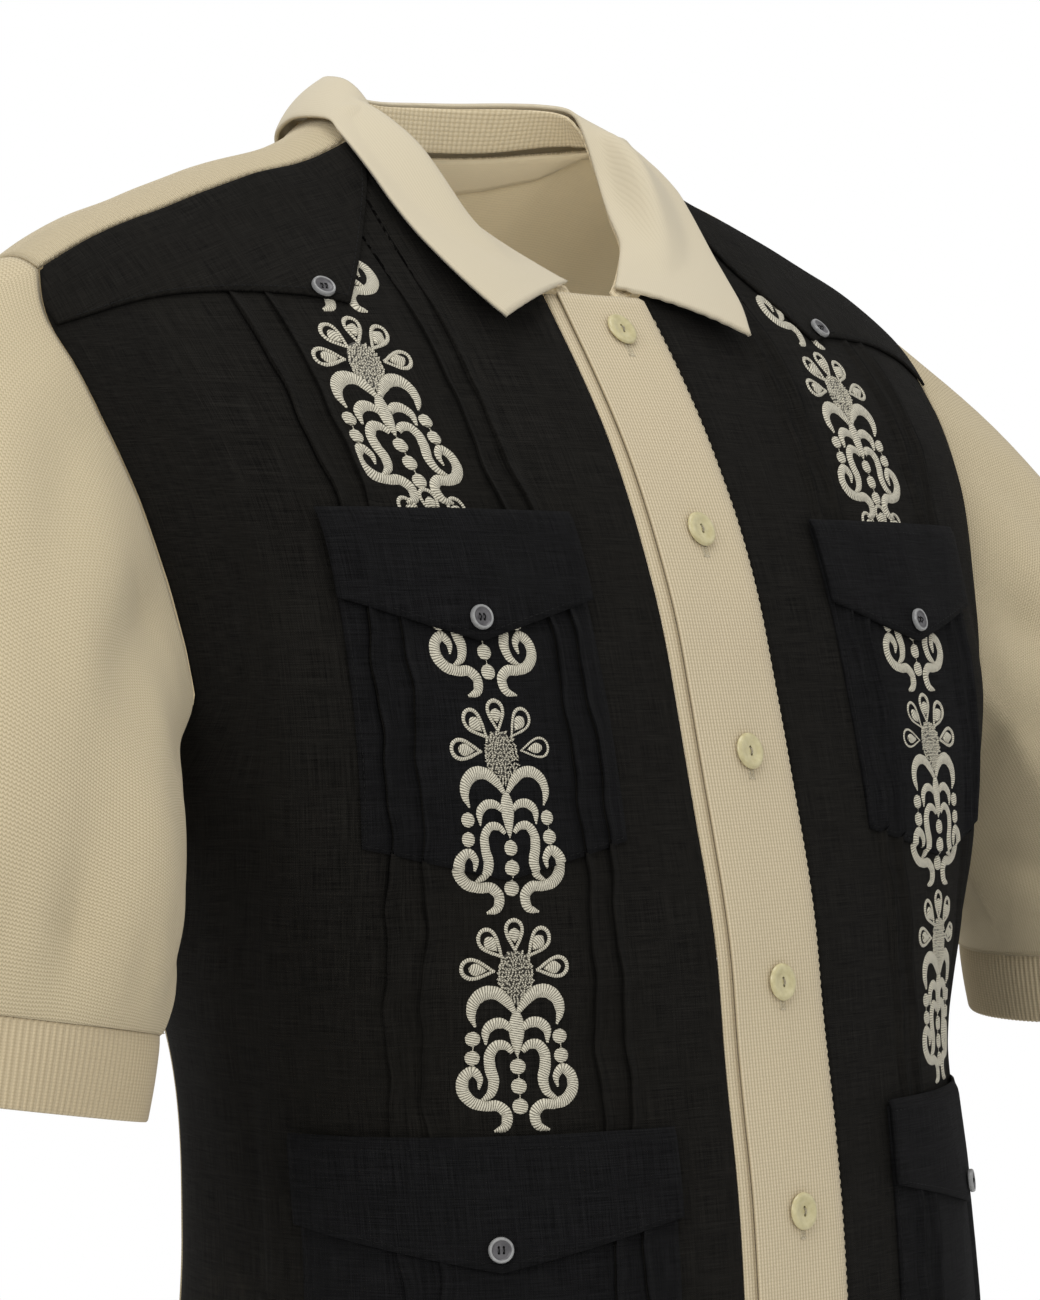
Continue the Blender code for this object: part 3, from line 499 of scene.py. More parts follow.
def cloth(name, sheets, finish, thickness=0.0, replaces=(), weld=False, inside=None):
    """One piece from one or more sheets, each (points, pattern places, outward directions)."""
    bm = bmesh.new()
    table = []
    for points, pattern, outward in sheets:
        rows, cols = points.shape[:2]
        before = len(bm.faces)
        made = bmesh.ops.create_grid(bm, x_segments=cols - 1, y_segments=rows - 1, size=1.0)["verts"]
        flat = points.reshape(-1, 3) * MM
        for vert, place in zip(made, flat):
            vert.co = place
        i, j = rows // 2, cols // 2
        normal = grid_normals(points[max(i - 2, 0):i + 3, max(j - 2, 0):j + 3])
        sense = float(np.mean(np.sum(normal * outward[i, j], axis=-1)))
        if sense < 0:
            bm.faces.ensure_lookup_table()
            bmesh.ops.reverse_faces(bm, faces=bm.faces[before:])
        table.append(pattern.reshape(-1, 2))
    for face in bm.faces:
        face.smooth = True
    mesh = bpy.data.meshes.new(name)
    bm.to_mesh(mesh)
    bm.free()
    where = np.empty(len(mesh.loops), dtype=np.int32)
    mesh.loops.foreach_get("vertex_index", where)
    layer = mesh.uv_layers.new(name="pattern")
    layer.data.foreach_set("uv", (np.concatenate(table)[where] * 0.01).astype(np.float32).ravel())
    if weld:
        bm = bmesh.new()
        bm.from_mesh(mesh)
        bmesh.ops.remove_doubles(bm, verts=bm.verts, dist=0.00002)
        bm.to_mesh(mesh)
        bm.free()
    mesh.materials.append(finish)
    piece = bpy.data.objects.new(name, mesh)
    bpy.context.scene.collection.objects.link(piece)
    if thickness:
        shell = piece.modifiers.new("thickness", "SOLIDIFY")
        shell.thickness = thickness * MM
        shell.offset = -1.0
        if inside:
            mesh.materials.append(inside)
            shell.material_offset = 1
    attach(piece, "root")
    if replaces:
        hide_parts(*replaces)
    return piece


def panel(name, low, top, pattern, finish, thickness, node, inside=None):
    """Shell between a solid's inner and outer points, in that solid's place."""
    cloth(name, [(top, pattern, outward_of(low, top))], finish, thickness, (node,), inside=inside)


def outward_of(low, top):
    return unit(top - low)


# Threads and stitches lying on cloth

def strip_sheet(places, width, rise, ground, across=4):
    """Half-round strip of thread along flat places (girth, height), given the width at each."""
    places = np.asarray(places, float)
    step = np.gradient(places, axis=0)
    side = unit(np.stack((-step[:, 1], step[:, 0]), axis=-1))
    share = np.linspace(-1.0, 1.0, across + 1)
    flat = places[:, None] + side[:, None] * (share[None, :, None] * np.asarray(width)[:, None, None] / 2)
    dome = np.sqrt(np.clip(1.0 - share ** 2, 0, 1)) * np.asarray(rise)[:, None]
    run = run_along(places)
    pattern = np.stack((np.broadcast_to(run[:, None], dome.shape),
                        share[None] * np.asarray(width)[:, None] / 2), axis=-1)
    low = ground(flat[..., 0], flat[..., 1], -0.1)
    top = ground(flat[..., 0], flat[..., 1], dome - 0.05)
    return top, pattern, outward_of(low, top + (top - low) * 0.001 + 1e-6)


def spline(points, step):
    """Even points along a smooth curve through a few points; extra columns are carried along."""
    p = np.asarray(points, float)
    run = run_along(p[:, :2])
    fine = np.linspace(0, run[-1], max(3, int(run[-1] / 0.25)))
    dense = np.stack([smooth(fine, run, p[:, k]) for k in range(p.shape[1])], axis=-1)
    length = run_along(dense[:, :2])
    even = np.linspace(0, length[-1], max(4, int(length[-1] / step)))
    return np.stack([np.interp(even, length, dense[:, k]) for k in range(p.shape[1])], axis=-1)


def shade(seed, count):
    """Repeatable uneven numbers between minus one and one."""
    return np.random.default_rng(seed).uniform(-1.0, 1.0, count)


# Embroidered motif, drawn with its middle at 0 and its top at 0, in millimetres along the cloth.
# Every stroke is one half; the other half mirrors it.
STROKE_COLUMNS = ("across", "down", "width")
WIDE_ARCH = ((1.0, 37.5, 2.2), (4.5, 33.0, 4.4), (9.5, 29.6, 5.2), (15.5, 29.6, 5.6),
             (20.0, 33.2, 5.0), (21.2, 38.0, 3.8), (19.4, 43.4, 0.9))
SMALL_ARCH = ((2.8, 44.6, 2.6), (6.2, 42.4, 4.0), (10.6, 42.3, 4.4), (14.2, 45.0, 4.0), (14.6, 51.0, 0.9))
INNER_LEG = ((2.4, 54.2, 2.2), (5.4, 51.6, 3.6), (9.6, 51.4, 4.2), (12.8, 55.0, 4.6), (12.9, 60.8, 4.8),
             (11.6, 66.2, 4.6), (13.2, 71.2, 3.6), (18.2, 74.4, 0.9))
SCROLL = ((18.6, 69.4, 0.9), (18.0, 65.2, 3.0), (21.0, 61.8, 4.0), (25.0, 64.2, 4.6), (26.0, 69.6, 5.0),
          (22.2, 74.6, 4.8), (16.0, 76.4, 4.2), (10.2, 76.6, 4.4), (6.6, 80.0, 4.6), (7.6, 84.9, 4.0),
          (13.0, 87.0, 1.0))
SPINDLE = (0.0, 37.0, 56.5, 6.6)
PETAL_COLUMNS = ("turn", "root", "length", "width")
PETALS = ((0.0, 8.4, 13.0, 10.6), (43.0, 9.2, 14.6, 10.8), (-43.0, 9.2, 14.6, 10.8),
          (84.0, 10.2, 15.6, 10.4), (-84.0, 10.2, 15.6, 10.4))
HEART = (0.0, 12.4, 34.6, 17.6)
HEART_MIDDLE = 21.6
MIDDLE_DOTS = ((0.0, 60.4), (0.0, 68.6), (0.0, 77.0))
SIDE_DOTS = ((20.6, 48.4), (21.0, 56.4))
DOT_RADIUS = 3.3
MOTIF_CENTRE = 134.0
MOTIF_ROW_COLUMNS = ("top", "wide", "tall")
MOTIF_ROWS = ((-89.5, 0.86, 0.88), (-161.0, 0.88, 0.945), (-245.5, 0.88, 0.955), (-332.0, 0.88, 0.955))
FOOT_ROW = (-5.0, 0.78, 0.93)
STITCH_RISE = 0.95


def motif_sheets(row, sign, ground, only_foot=False, seed=1):
    """Satin sheets and seed sheets of one motif whose highest petal starts at the row's level."""
    top, wide_by, tall_by = row
    sheets = []
    seeds = []
    number = [seed * 1000]

    def place(flat):
        flat = np.asarray(flat, float)
        level = top - flat[..., 1] * tall_by
        middle = MOTIF_CENTRE + chest_drift(level, sign)
        return np.stack((middle + flat[..., 0] * sign * wide_by, level), axis=-1)

    def lay(flat, width, rise=STITCH_RISE, across=4, into=sheets):
        number[0] += 1
        rough = shade(number[0], len(width)) * 0.14
        width = np.maximum(np.asarray(width) + rough, 0.25)
        height = rise * np.clip(width / 2.4, 0.35, 1.0)
        into.append(strip_sheet(place(flat), width, height, ground, across))

    def stroke(table, side):
        path = spline(table, 0.85)
        lay(path[:, :2] * np.array((side, 1.0)), path[:, 2])

    def link(a, b):
        path = spline((a, ((a[0] + b[0]) / 2 + 0.3, (a[1] + b[1]) / 2), b), 1.2)
        lay(path, np.full(len(path), 0.55), 0.5, 2)

    def dot(x, y, radius):
        s = np.linspace(-0.985, 0.985, 11)
        flat = np.stack((np.full(11, x), y + s * radius), axis=-1)
        lay(flat, 2 * radius * np.sqrt(1 - s ** 2), 1.05, 6)

    for side in (-1.0, 1.0):
        stroke(SCROLL, side)
        stroke(INNER_LEG, side)
        if only_foot:
            continue
        stroke(WIDE_ARCH, side)
        stroke(SMALL_ARCH, side)
        for x, y in SIDE_DOTS:
            dot(x * side, y, DOT_RADIUS * 0.94)
        link((SIDE_DOTS[0][0] * side, SIDE_DOTS[0][1] + 2.6), (SIDE_DOTS[1][0] * side, SIDE_DOTS[1][1] - 2.6))
        link((SIDE_DOTS[1][0] * side, SIDE_DOTS[1][1] + 2.6), (21.2 * side, 62.2))
    if only_foot:
        return sheets, seeds
    for x, y in MIDDLE_DOTS:
        dot(x, y, DOT_RADIUS)
    link((0.0, 54.8), (0.0, MIDDLE_DOTS[0][1] - 2.8))
    for upper, lower in zip(MIDDLE_DOTS, MIDDLE_DOTS[1:]):
        link((0.0, upper[1] + 2.8), (0.0, lower[1] - 2.8))
    x, high, low, wide = SPINDLE
    s = np.linspace(0.01, 0.99, 22)
    body = np.sin(pi * s ** 0.72) ** 0.8
    lay(np.stack((np.zeros(22), high + (low - high) * s), axis=-1), wide * body, 1.15, 6)
    for turn, root, length, width in PETALS:
        a = radians(turn)
        axis = np.array((sin(a), -cos(a)))
        out = np.array((cos(a), sin(a)))
        base = np.array((0.0, HEART_MIDDLE)) + axis * root * (1.0 if abs(turn) > 1 else 1.08)
        t = np.linspace(0.0, 1.0, 44)
        around = t * tau
        reach = (1 - np.cos(around)) / 2
        bulge = np.sin(around) * (0.5 + 0.5 * reach) ** 0.7 * np.sin(pi * np.clip(reach, 0.02, 1) ** 0.8 / 2)
        outline = base + axis * (reach * length)[:, None] + out * (bulge * width / 2)[:, None]
        thick = 0.95 + 0.75 * np.sin(pi * t) ** 0.8
        lay(outline, thick, 0.85, 3)
        s = np.linspace(0.03, 0.985, 14)
        drop = np.sin(pi * s ** 1.45) ** 0.7
        fill = base + axis * (3.6 + (length - 6.8) * s)[:, None]
        lay(fill, drop * (width - 5.4), 1.0, 4)
    x, high, low, wide = HEART
    chance = np.random.default_rng(seed * 77 + int(sign))
    half_at = lambda v: (wide / 2 * np.sin(pi * np.minimum(v * 0.62 + 0.20, 1.0)) ** 0.9
                         * np.where(v < 0.6, 1.0, 1 - (np.clip((v - 0.6) / 0.4, 0, 1)) ** 1.6 * 0.86)
                         * np.minimum(1.0, 0.55 + v * 4.5))
    v = np.linspace(0.0, 1.0, 26)
    number[0] += 1
    patch = np.stack((np.zeros(26), high + (low - high) * v), axis=-1)
    seeds.append(strip_sheet(place(patch), 2 * half_at(v) * wide_by, np.full(26, 0.3), ground, 12))
    rows = 14
    for r in range(rows):
        v = (r + 0.5) / rows
        half = float(half_at(v))
        count = max(2, int(half * 2 / 1.45))
        for k in range(count):
            cx = -half + (k + 0.5) * 2 * half / count + chance.uniform(-0.25, 0.25)
            cy = high + (low - high) * v + chance.uniform(-0.3, 0.3)
            a = radians(chance.choice((35, -35, 80, -70)) + chance.uniform(-16, 16))
            reach = chance.uniform(0.85, 1.2)
            ends = np.array(((-1.0, -1.0), (0.0, 0.0), (1.0, 1.0))) * np.array((cos(a), sin(a))) * reach
            lay(ends + np.array((cx, cy)), np.array((0.7, 1.0, 0.7)), 2.0 + chance.uniform(-0.3, 0.4), 2)
    return sheets, seeds


def front_ground(sign):
    """Height of whatever linen lies uppermost under the thread: the front, or its chest pocket."""
    inner, outer, head, corner, point = CHEST_POCKET

    def ground(girth, height, off):
        foot = point + (corner - point) * np.abs(girth - (inner + outer) / 2) / ((outer - inner) / 2)
        on = ease((head - height) / 1.6 + 0.5) * ease((height - foot) / 1.6 + 0.5)
        return front_cloth(girth, height, LINEN + off + on * (LINEN + LAYER), sign)

    return ground


def stitch_sheets(flat, ground, length=2.4, gap=0.7, width=0.45, rise=0.35):
    """Row of short stitches along flat places."""
    run = run_along(flat)
    count = int(run[-1] / (length + gap))
    sheets = []
    for k in range(count):
        s = k * (length + gap) + np.array((0.1, 0.5, 0.9)) * length
        path = np.stack((np.interp(s, run, flat[:, 0]), np.interp(s, run, flat[:, 1])), axis=-1)
        sheets.append(strip_sheet(path, np.array((width * 0.7, width, width * 0.7)),
                                  np.array((0.1, rise, 0.1)), ground, 2))
    return sheets


# Surface effects shared by the cloths

def wire(tree, value, socket):
    if isinstance(value, bpy.types.NodeSocket):
        tree.links.new(value, socket)
    else:
        socket.default_value = value


def maths(tree, operation, *values):
    node = tree.nodes.new("ShaderNodeMath")
    node.operation = operation
    for value, socket in zip(values, node.inputs):
        wire(tree, value, socket)
    return node.outputs[0]


def add(tree, one, other):
    return maths(tree, "ADD", one, other)


def times(tree, one, other):
    return maths(tree, "MULTIPLY", one, other)


def noise(tree, vector, scale, detail=2.0, rough=0.5):
    node = tree.nodes.new("ShaderNodeTexNoise")
    node.inputs["Scale"].default_value = scale
    node.inputs["Detail"].default_value = detail
    node.inputs["Roughness"].default_value = rough
    tree.links.new(vector, node.inputs["Vector"])
    return node.outputs["Fac"]


def stretched(tree, vector, across, along):
    node = tree.nodes.new("ShaderNodeMapping")
    node.inputs["Scale"].default_value = (across, along, 1.0)
    tree.links.new(vector, node.inputs["Vector"])
    return node.outputs["Vector"]


def parts_of(tree, vector):
    node = tree.nodes.new("ShaderNodeSeparateXYZ")
    tree.links.new(vector, node.inputs[0])
    return node.outputs["X"], node.outputs["Y"]


def spread(tree, value, low, high, out_low=0.0, out_high=1.0):
    node = tree.nodes.new("ShaderNodeMapRange")
    for name, given in (("Value", value), ("From Min", low), ("From Max", high),
                        ("To Min", out_low), ("To Max", out_high)):
        wire(tree, given, node.inputs[name])
    return node.outputs["Result"]


def blend_colour(tree, share, one, two, mode="MIX"):
    node = tree.nodes.new("ShaderNodeMix")
    node.data_type = "RGBA"
    node.blend_type = mode
    wire(tree, share, node.inputs[0])
    wire(tree, one, node.inputs[6])
    wire(tree, two, node.inputs[7])
    return node.outputs[2]


def effect(name, inputs, outputs, build):
    """Shader node group with named sockets; build wires it and returns its output values."""
    group = bpy.data.node_groups.new(name, "ShaderNodeTree")
    for label, kind, value in inputs:
        socket = group.interface.new_socket(name=label, in_out="INPUT", socket_type=kind)
        if value is not None:
            socket.default_value = value
    for label, kind in outputs:
        group.interface.new_socket(name=label, in_out="OUTPUT", socket_type=kind)
    entry = group.nodes.new("NodeGroupInput")
    leave = group.nodes.new("NodeGroupOutput")
    made = build(group, {label: entry.outputs[label] for label, _, _ in inputs})
    for label, _ in outputs:
        group.links.new(made[label], leave.inputs[label])
    return group


FLOAT = "NodeSocketFloat"
VECTOR = "NodeSocketVector"


def build_knit(tree, given):
    """Rows of stitches. Slant 0 gives square bumps, slant 1 gives the vees of plain knitting."""
    u, v = parts_of(tree, given["Place"])
    wobble = noise(tree, stretched(tree, given["Place"], 0.09, 0.13), 1.0, 2.0)
    v = add(tree, v, times(tree, maths(tree, "SUBTRACT", wobble, 0.5), given["Wobble"]))
    wale = maths(tree, "DIVIDE", u, given["Wale"])
    arm = maths(tree, "ABSOLUTE", maths(tree, "SUBTRACT", maths(tree, "FRACT", wale), 0.5))
    course = maths(tree, "DIVIDE", v, given["Course"])
    course = add(tree, course, times(tree, arm, given["Slant"]))
    row = maths(tree, "MULTIPLY_ADD", maths(tree, "COSINE", times(tree, course, tau)), 0.5, 0.5)
    rib = maths(tree, "MULTIPLY_ADD", maths(tree, "COSINE", times(tree, wale, tau)), -0.5, 0.5)
    rows = spread(tree, maths(tree, "POWER", row, 0.6), 0.0, 1.0, given["Row gap"], 1.0)
    ribs = spread(tree, rib, 0.0, 1.0, given["Gap"], 1.0)
    height = maths(tree, "POWER", times(tree, rows, ribs), 0.8)
    fuzz = noise(tree, given["Place"], 2.6, 3.0, 0.65)
    height = add(tree, height, times(tree, maths(tree, "SUBTRACT", fuzz, 0.5), 0.35))
    return {"Height": height, "Shade": spread(tree, height, 0.0, 1.0)}


KNIT_STITCHES = effect(
    "knit stitches",
    (("Place", VECTOR, None), ("Wale", FLOAT, 1.1), ("Course", FLOAT, 1.3), ("Slant", FLOAT, 0.0),
     ("Gap", FLOAT, 0.35), ("Wobble", FLOAT, 1.0), ("Row gap", FLOAT, 0.2)),
    (("Height", FLOAT), ("Shade", FLOAT)), build_knit)


def build_slub(tree, given):
    """Uneven plain weave: thin threads both ways, with thick slubs and open places."""
    u, v = parts_of(tree, given["Place"])
    warp = noise(tree, stretched(tree, given["Place"], 1.9, 0.05), 1.0, 3.0, 0.7)
    weft = noise(tree, stretched(tree, given["Place"], 0.05, 1.9), 1.0, 3.0, 0.7)
    slub = noise(tree, stretched(tree, given["Place"], 0.55, 0.016), 1.0, 2.0, 0.6)
    cross = noise(tree, stretched(tree, given["Place"], 0.016, 0.55), 1.0, 2.0, 0.6)
    bend = times(tree, maths(tree, "SUBTRACT", slub, 0.5), 1.2)
    a = maths(tree, "SINE", times(tree, add(tree, u, bend),
                                        maths(tree, "DIVIDE", tau, given["Thread"])))
    b = maths(tree, "SINE", times(tree, add(tree, v, bend),
                                        maths(tree, "DIVIDE", tau, given["Thread"])))
    plain = maths(tree, "MULTIPLY_ADD", times(tree, a, b), 0.5, 0.5)
    threads = add(tree, times(tree, warp, 0.5), times(tree, weft, 0.5))
    thick = maths(tree, "MAXIMUM", slub, cross)
    height = add(tree, times(tree, plain, 0.35),
                      add(tree, times(tree, threads, 0.9),
                               times(tree, thick, given["Slub"])))
    mottle = noise(tree, stretched(tree, given["Place"], 0.022, 0.017), 1.0, 3.0, 0.55)
    light = add(tree, times(tree, threads, 0.9), times(tree, thick, 0.18))
    return {"Height": height, "Thread light": spread(tree, light, 0.40, 0.72), "Mottle": mottle}


SLUB_WEAVE = effect(
    "slub weave",
    (("Place", VECTOR, None), ("Thread", FLOAT, 0.9), ("Slub", FLOAT, 0.6)),
    (("Height", FLOAT), ("Thread light", FLOAT), ("Mottle", FLOAT)), build_slub)


def build_wrap(tree, given):
    """Side by side threads of satin stitch."""
    u, v = parts_of(tree, given["Place"])
    jitter = noise(tree, stretched(tree, given["Place"], 1.7, 0.35), 1.0, 2.0, 0.6)
    lean_out = times(tree, v, given["Slant"])
    place = add(tree, add(tree, u, lean_out), times(tree, jitter, 0.5))
    wave = maths(tree, "SINE", times(tree, place, maths(tree, "DIVIDE", tau, given["Thread"])))
    height = maths(tree, "MULTIPLY_ADD", wave, 0.5, 0.5)
    height = maths(tree, "POWER", height, 0.6)
    loose = noise(tree, stretched(tree, given["Place"], 2.4, 0.2), 1.0, 2.0, 0.6)
    return {"Height": add(tree, height, times(tree, loose, 0.6)), "Shade": height,
            "Loose": loose}


SATIN_WRAP = effect(
    "satin wrap",
    (("Place", VECTOR, None), ("Thread", FLOAT, 0.5), ("Slant", FLOAT, 0.25)),
    (("Height", FLOAT), ("Shade", FLOAT), ("Loose", FLOAT)), build_wrap)


def new_material(name, roughness, sheen=0.0, sheen_rough=0.5, specular=0.3):
    material = bpy.data.materials.new(name)
    material.use_nodes = True
    shader = material.node_tree.nodes["Principled BSDF"]
    shader.inputs["Roughness"].default_value = roughness
    shader.inputs["Specular IOR Level"].default_value = specular
    shader.inputs["Sheen Weight"].default_value = sheen
    shader.inputs["Sheen Roughness"].default_value = sheen_rough
    return material, material.node_tree, shader


def pattern_place(tree):
    """Millimetres along the cloth, from the piece's own pattern map."""
    node = tree.nodes.new("ShaderNodeUVMap")
    node.uv_map = "pattern"
    scale = tree.nodes.new("ShaderNodeVectorMath")
    scale.operation = "SCALE"
    tree.links.new(node.outputs["UV"], scale.inputs[0])
    scale.inputs["Scale"].default_value = 100.0
    return scale.outputs[0]


def object_place(tree, scale):
    node = tree.nodes.new("ShaderNodeTexCoord")
    size = tree.nodes.new("ShaderNodeVectorMath")
    size.operation = "SCALE"
    tree.links.new(node.outputs["Object"], size.inputs[0])
    size.inputs["Scale"].default_value = scale
    return size.outputs[0]


def use_effect(tree, group, **values):
    node = tree.nodes.new("ShaderNodeGroup")
    node.node_tree = group
    for label, value in values.items():
        wire(tree, value, node.inputs[label.replace("_", " ")])
    return node.outputs


def raise_surface(tree, shader, height, distance, strength=1.0):
    bump = tree.nodes.new("ShaderNodeBump")
    bump.inputs["Strength"].default_value = strength
    bump.inputs["Distance"].default_value = distance * MM
    tree.links.new(height, bump.inputs["Height"])
    tree.links.new(bump.outputs["Normal"], shader.inputs["Normal"])


def knit_finish(name, light, dark, wale, course, slant, gap, depth, wobble, row_gap):
    material, tree, shader = new_material(name, 0.88, 0.12, 0.6, 0.2)
    place = pattern_place(tree)
    out = use_effect(tree, KNIT_STITCHES, Place=place, Wale=wale, Course=course, Slant=slant, Gap=gap,
                     Wobble=wobble, Row_gap=row_gap)
    cloud = noise(tree, object_place(tree, 9.0), 1.0, 3.0)
    # Painted shade: the low places between the stitches are coloured darker, as shade in the stitch gaps, on
    # top of the bump.
    tone = blend_colour(tree, spread(tree, out["Shade"], 0.05, 0.75), (*dark, 1.0), (*light, 1.0))
    warm = blend_colour(tree, spread(tree, cloud, 0.3, 0.7, 0.0, 0.10), tone, (0.60, 0.50, 0.30, 1.0))
    tree.links.new(warm, shader.inputs["Base Color"])
    tree.links.new(spread(tree, out["Shade"], 0.0, 1.0, 0.95, 0.82), shader.inputs["Roughness"])
    raise_surface(tree, shader, out["Height"], depth)
    return material


def linen_finish(name, light, dark, warm, painted_sheen_colour):
    material, tree, shader = new_material(name, 0.92, 0.01, 0.5, 0.05)
    place = pattern_place(tree)
    out = use_effect(tree, SLUB_WEAVE, Place=place, Thread=0.95, Slub=0.6)
    tone = blend_colour(tree, out["Thread light"], (*dark, 1.0), (*light, 1.0))
    mottle_and_sheen = blend_colour(tree, spread(tree, out["Mottle"], 0.44, 0.80, 0.0, 0.5), tone, (*warm, 1.0))
    # Painted sheen: a lighter, warmer patchy band on the threads near the side seams, low on the fronts,
    # where light catches the bulging cloth. The mottle before it is the cloth's own uneven tone.
    across, along = parts_of(tree, place)
    side = maths(tree, "ABSOLUTE", across)
    sheen_band = times(tree, spread(tree, side, 232.0, 268.0), spread(tree, side, 345.0, 300.0))
    sheen_band = times(tree, sheen_band, spread(tree, along, -450.0, -500.0))
    sheen_clouds = noise(tree, stretched(tree, place, 0.05, 0.035), 1.0, 4.0, 0.7)
    sheen_patches = spread(tree, sheen_clouds, 0.50, 0.70, 0.0, 0.45)
    painted_sheen = times(tree, times(tree, sheen_band, sheen_patches), out["Thread light"])
    mottle_and_sheen = blend_colour(tree, painted_sheen, mottle_and_sheen, (*painted_sheen_colour, 1.0))
    tree.links.new(mottle_and_sheen, shader.inputs["Base Color"])
    tree.links.new(spread(tree, out["Thread light"], 0.0, 1.0, 0.95, 0.78), shader.inputs["Roughness"])
    raise_surface(tree, shader, out["Height"], 0.42)
    return material


def thread_finish(name, light, dark, thread=0.5, roughness=0.5, sheen=0.15):
    material, tree, shader = new_material(name, roughness, sheen, 0.4, 0.3)
    place = pattern_place(tree)
    out = use_effect(tree, SATIN_WRAP, Place=place, Thread=thread, Slant=0.2)
    # Painted shade: the grooves between the threads are coloured darker, as shade in the grooves, on top of
    # the bump.
    tone = blend_colour(tree, spread(tree, out["Shade"], 0.1, 0.8), (*dark, 1.0), (*light, 1.0))
    tree.links.new(tone, shader.inputs["Base Color"])
    rough = spread(tree, out["Loose"], 0.3, 0.7, roughness * 0.85, roughness * 1.2)
    tree.links.new(rough, shader.inputs["Roughness"])
    raise_surface(tree, shader, out["Height"], 0.30)
    return material


def button_finish(name, light, dark, roughness, coat):
    material, tree, shader = new_material(name, roughness, 0.0, 0.5, 0.5)
    shader.inputs["Coat Roughness"].default_value = 0.2
    swirl = noise(tree, object_place(tree, 260.0), 1.0, 4.0, 0.6)
    fine = noise(tree, object_place(tree, 1500.0), 1.0, 2.0)
    tone = blend_colour(tree, spread(tree, swirl, 0.3, 0.7), (*dark, 1.0), (*light, 1.0))
    tree.links.new(tone, shader.inputs["Base Color"])
    tree.links.new(spread(tree, fine, 0.3, 0.7, coat * 0.6, coat), shader.inputs["Coat Weight"])
    rough = spread(tree, swirl, 0.3, 0.7, roughness * 0.85, roughness * 1.15)
    tree.links.new(rough, shader.inputs["Roughness"])
    raise_surface(tree, shader, fine, 0.03)
    return material


KNIT_COLUMNS = ("name", "light", "dark", "wale", "course", "slant", "gap", "depth", "wobble", "row_gap")
KNITS = (
    ("cream jersey", (0.61, 0.515, 0.34), (0.38, 0.305, 0.18), 1.25, 1.35, 1.0, 0.5, 0.30, 0.5, 0.15),
    # The inside face is the same jersey, painted lighter as painted light for the shaded inside of the back;
    # only its flatter stitches are the cloth's own reverse side.
    ("cream jersey inside with painted light", (0.74, 0.62, 0.40), (0.62, 0.51, 0.32), 1.15, 1.30, 0.3, 0.8, 0.10, 0.4, 0.4),
    ("cream ribbing", (0.60, 0.50, 0.33), (0.33, 0.255, 0.15), 2.4, 1.25, 0.5, 0.30, 0.22, 0.4, 0.6),
    ("cream band knit", (0.66, 0.56, 0.385), (0.42, 0.34, 0.21), 1.75, 1.45, 0.0, 0.10, 0.26, 0.3, 0.45),
    ("cream collar knit", (0.60, 0.53, 0.39), (0.53, 0.46, 0.325), 0.95, 1.15, 0.35, 0.7, 0.07, 0.15, 0.4),
    # The waffle knit is its own cream, set lighter than the other cream knits as painted light for the shaded
    # inside of the neck.
    ("cream waffle knit", (0.74, 0.63, 0.43), (0.50, 0.40, 0.235), 2.5, 2.1, 0.0, 0.35, 0.30, 0.3, 0.35),
    ("cream tape", (0.72, 0.61, 0.41), (0.62, 0.52, 0.34), 0.9, 1.1, 0.4, 0.7, 0.10, 0.3, 0.5),
)
JERSEY, LIT_INNER_JERSEY, RIBBING, BAND_KNIT, COLLAR_KNIT, WAFFLE_KNIT, TAPE_KNIT = (
    knit_finish(*row) for row in KNITS)
# The last colour given to each linen is its painted sheen colour, used near the sides low on the fronts.
FRONT_LINEN = linen_finish("black linen", (0.0185, 0.0170, 0.0143), (0.0013, 0.0012, 0.0011),
                           (0.0100, 0.0090, 0.0070), (0.060, 0.052, 0.036))
POCKET_LINEN = linen_finish("black pocket linen", (0.0145, 0.0143, 0.0150), (0.0011, 0.0011, 0.0012),
                            (0.0075, 0.0075, 0.0075), (0.010, 0.010, 0.010))
SILVER_THREAD = thread_finish("silver beige thread", (0.70, 0.655, 0.52), (0.17, 0.155, 0.115), 0.95)
SEED_GROUND = thread_finish("ground under the seed stitches", (0.07, 0.063, 0.048), (0.02, 0.018, 0.014), 0.4)
BLACK_THREAD = thread_finish("black sewing thread", (0.0060, 0.0058, 0.0056), (0.002, 0.002, 0.002),
                             0.35, 0.8, 0.0)
CREAM_THREAD = thread_finish("cream sewing thread", (0.78, 0.68, 0.47), (0.52, 0.43, 0.28), 0.35)
DARK_BUTTON = button_finish("smoke grey button", (0.105, 0.100, 0.104), (0.055, 0.052, 0.056), 0.36, 0.3)
DARK_RIM = button_finish("pale grey button rim", (0.34, 0.34, 0.33), (0.20, 0.20, 0.20), 0.35, 0.4)
PALE_BUTTON = button_finish("pale yellow button", (0.60, 0.535, 0.30), (0.46, 0.40, 0.20), 0.34, 0.5)


# Tucks

def tuck_wave(height, place):
    """Sideways wander of one tuck."""
    return (0.85 * np.sin(height / 7.3 + place) + 0.7 * np.sin(height / 17.0 + 2.1 * place)
            + 0.3 * np.sin(height / 3.1))


def tuck_lines(low, high, step):
    """Upright grid lines across a front, closer together at the tucks."""
    lines = list(lines_between(low, high, step))
    for place in TUCKS:
        if low + 3 < place < high - 3:
            lines = [g for g in lines if abs(g - place) > 4.6]
            lines += [place + d for d in (-4.2, -2.9, -1.7, -0.7, -0.1, 0.35, 1.0, 2.2, 3.6)]
    return np.array(sorted(lines))


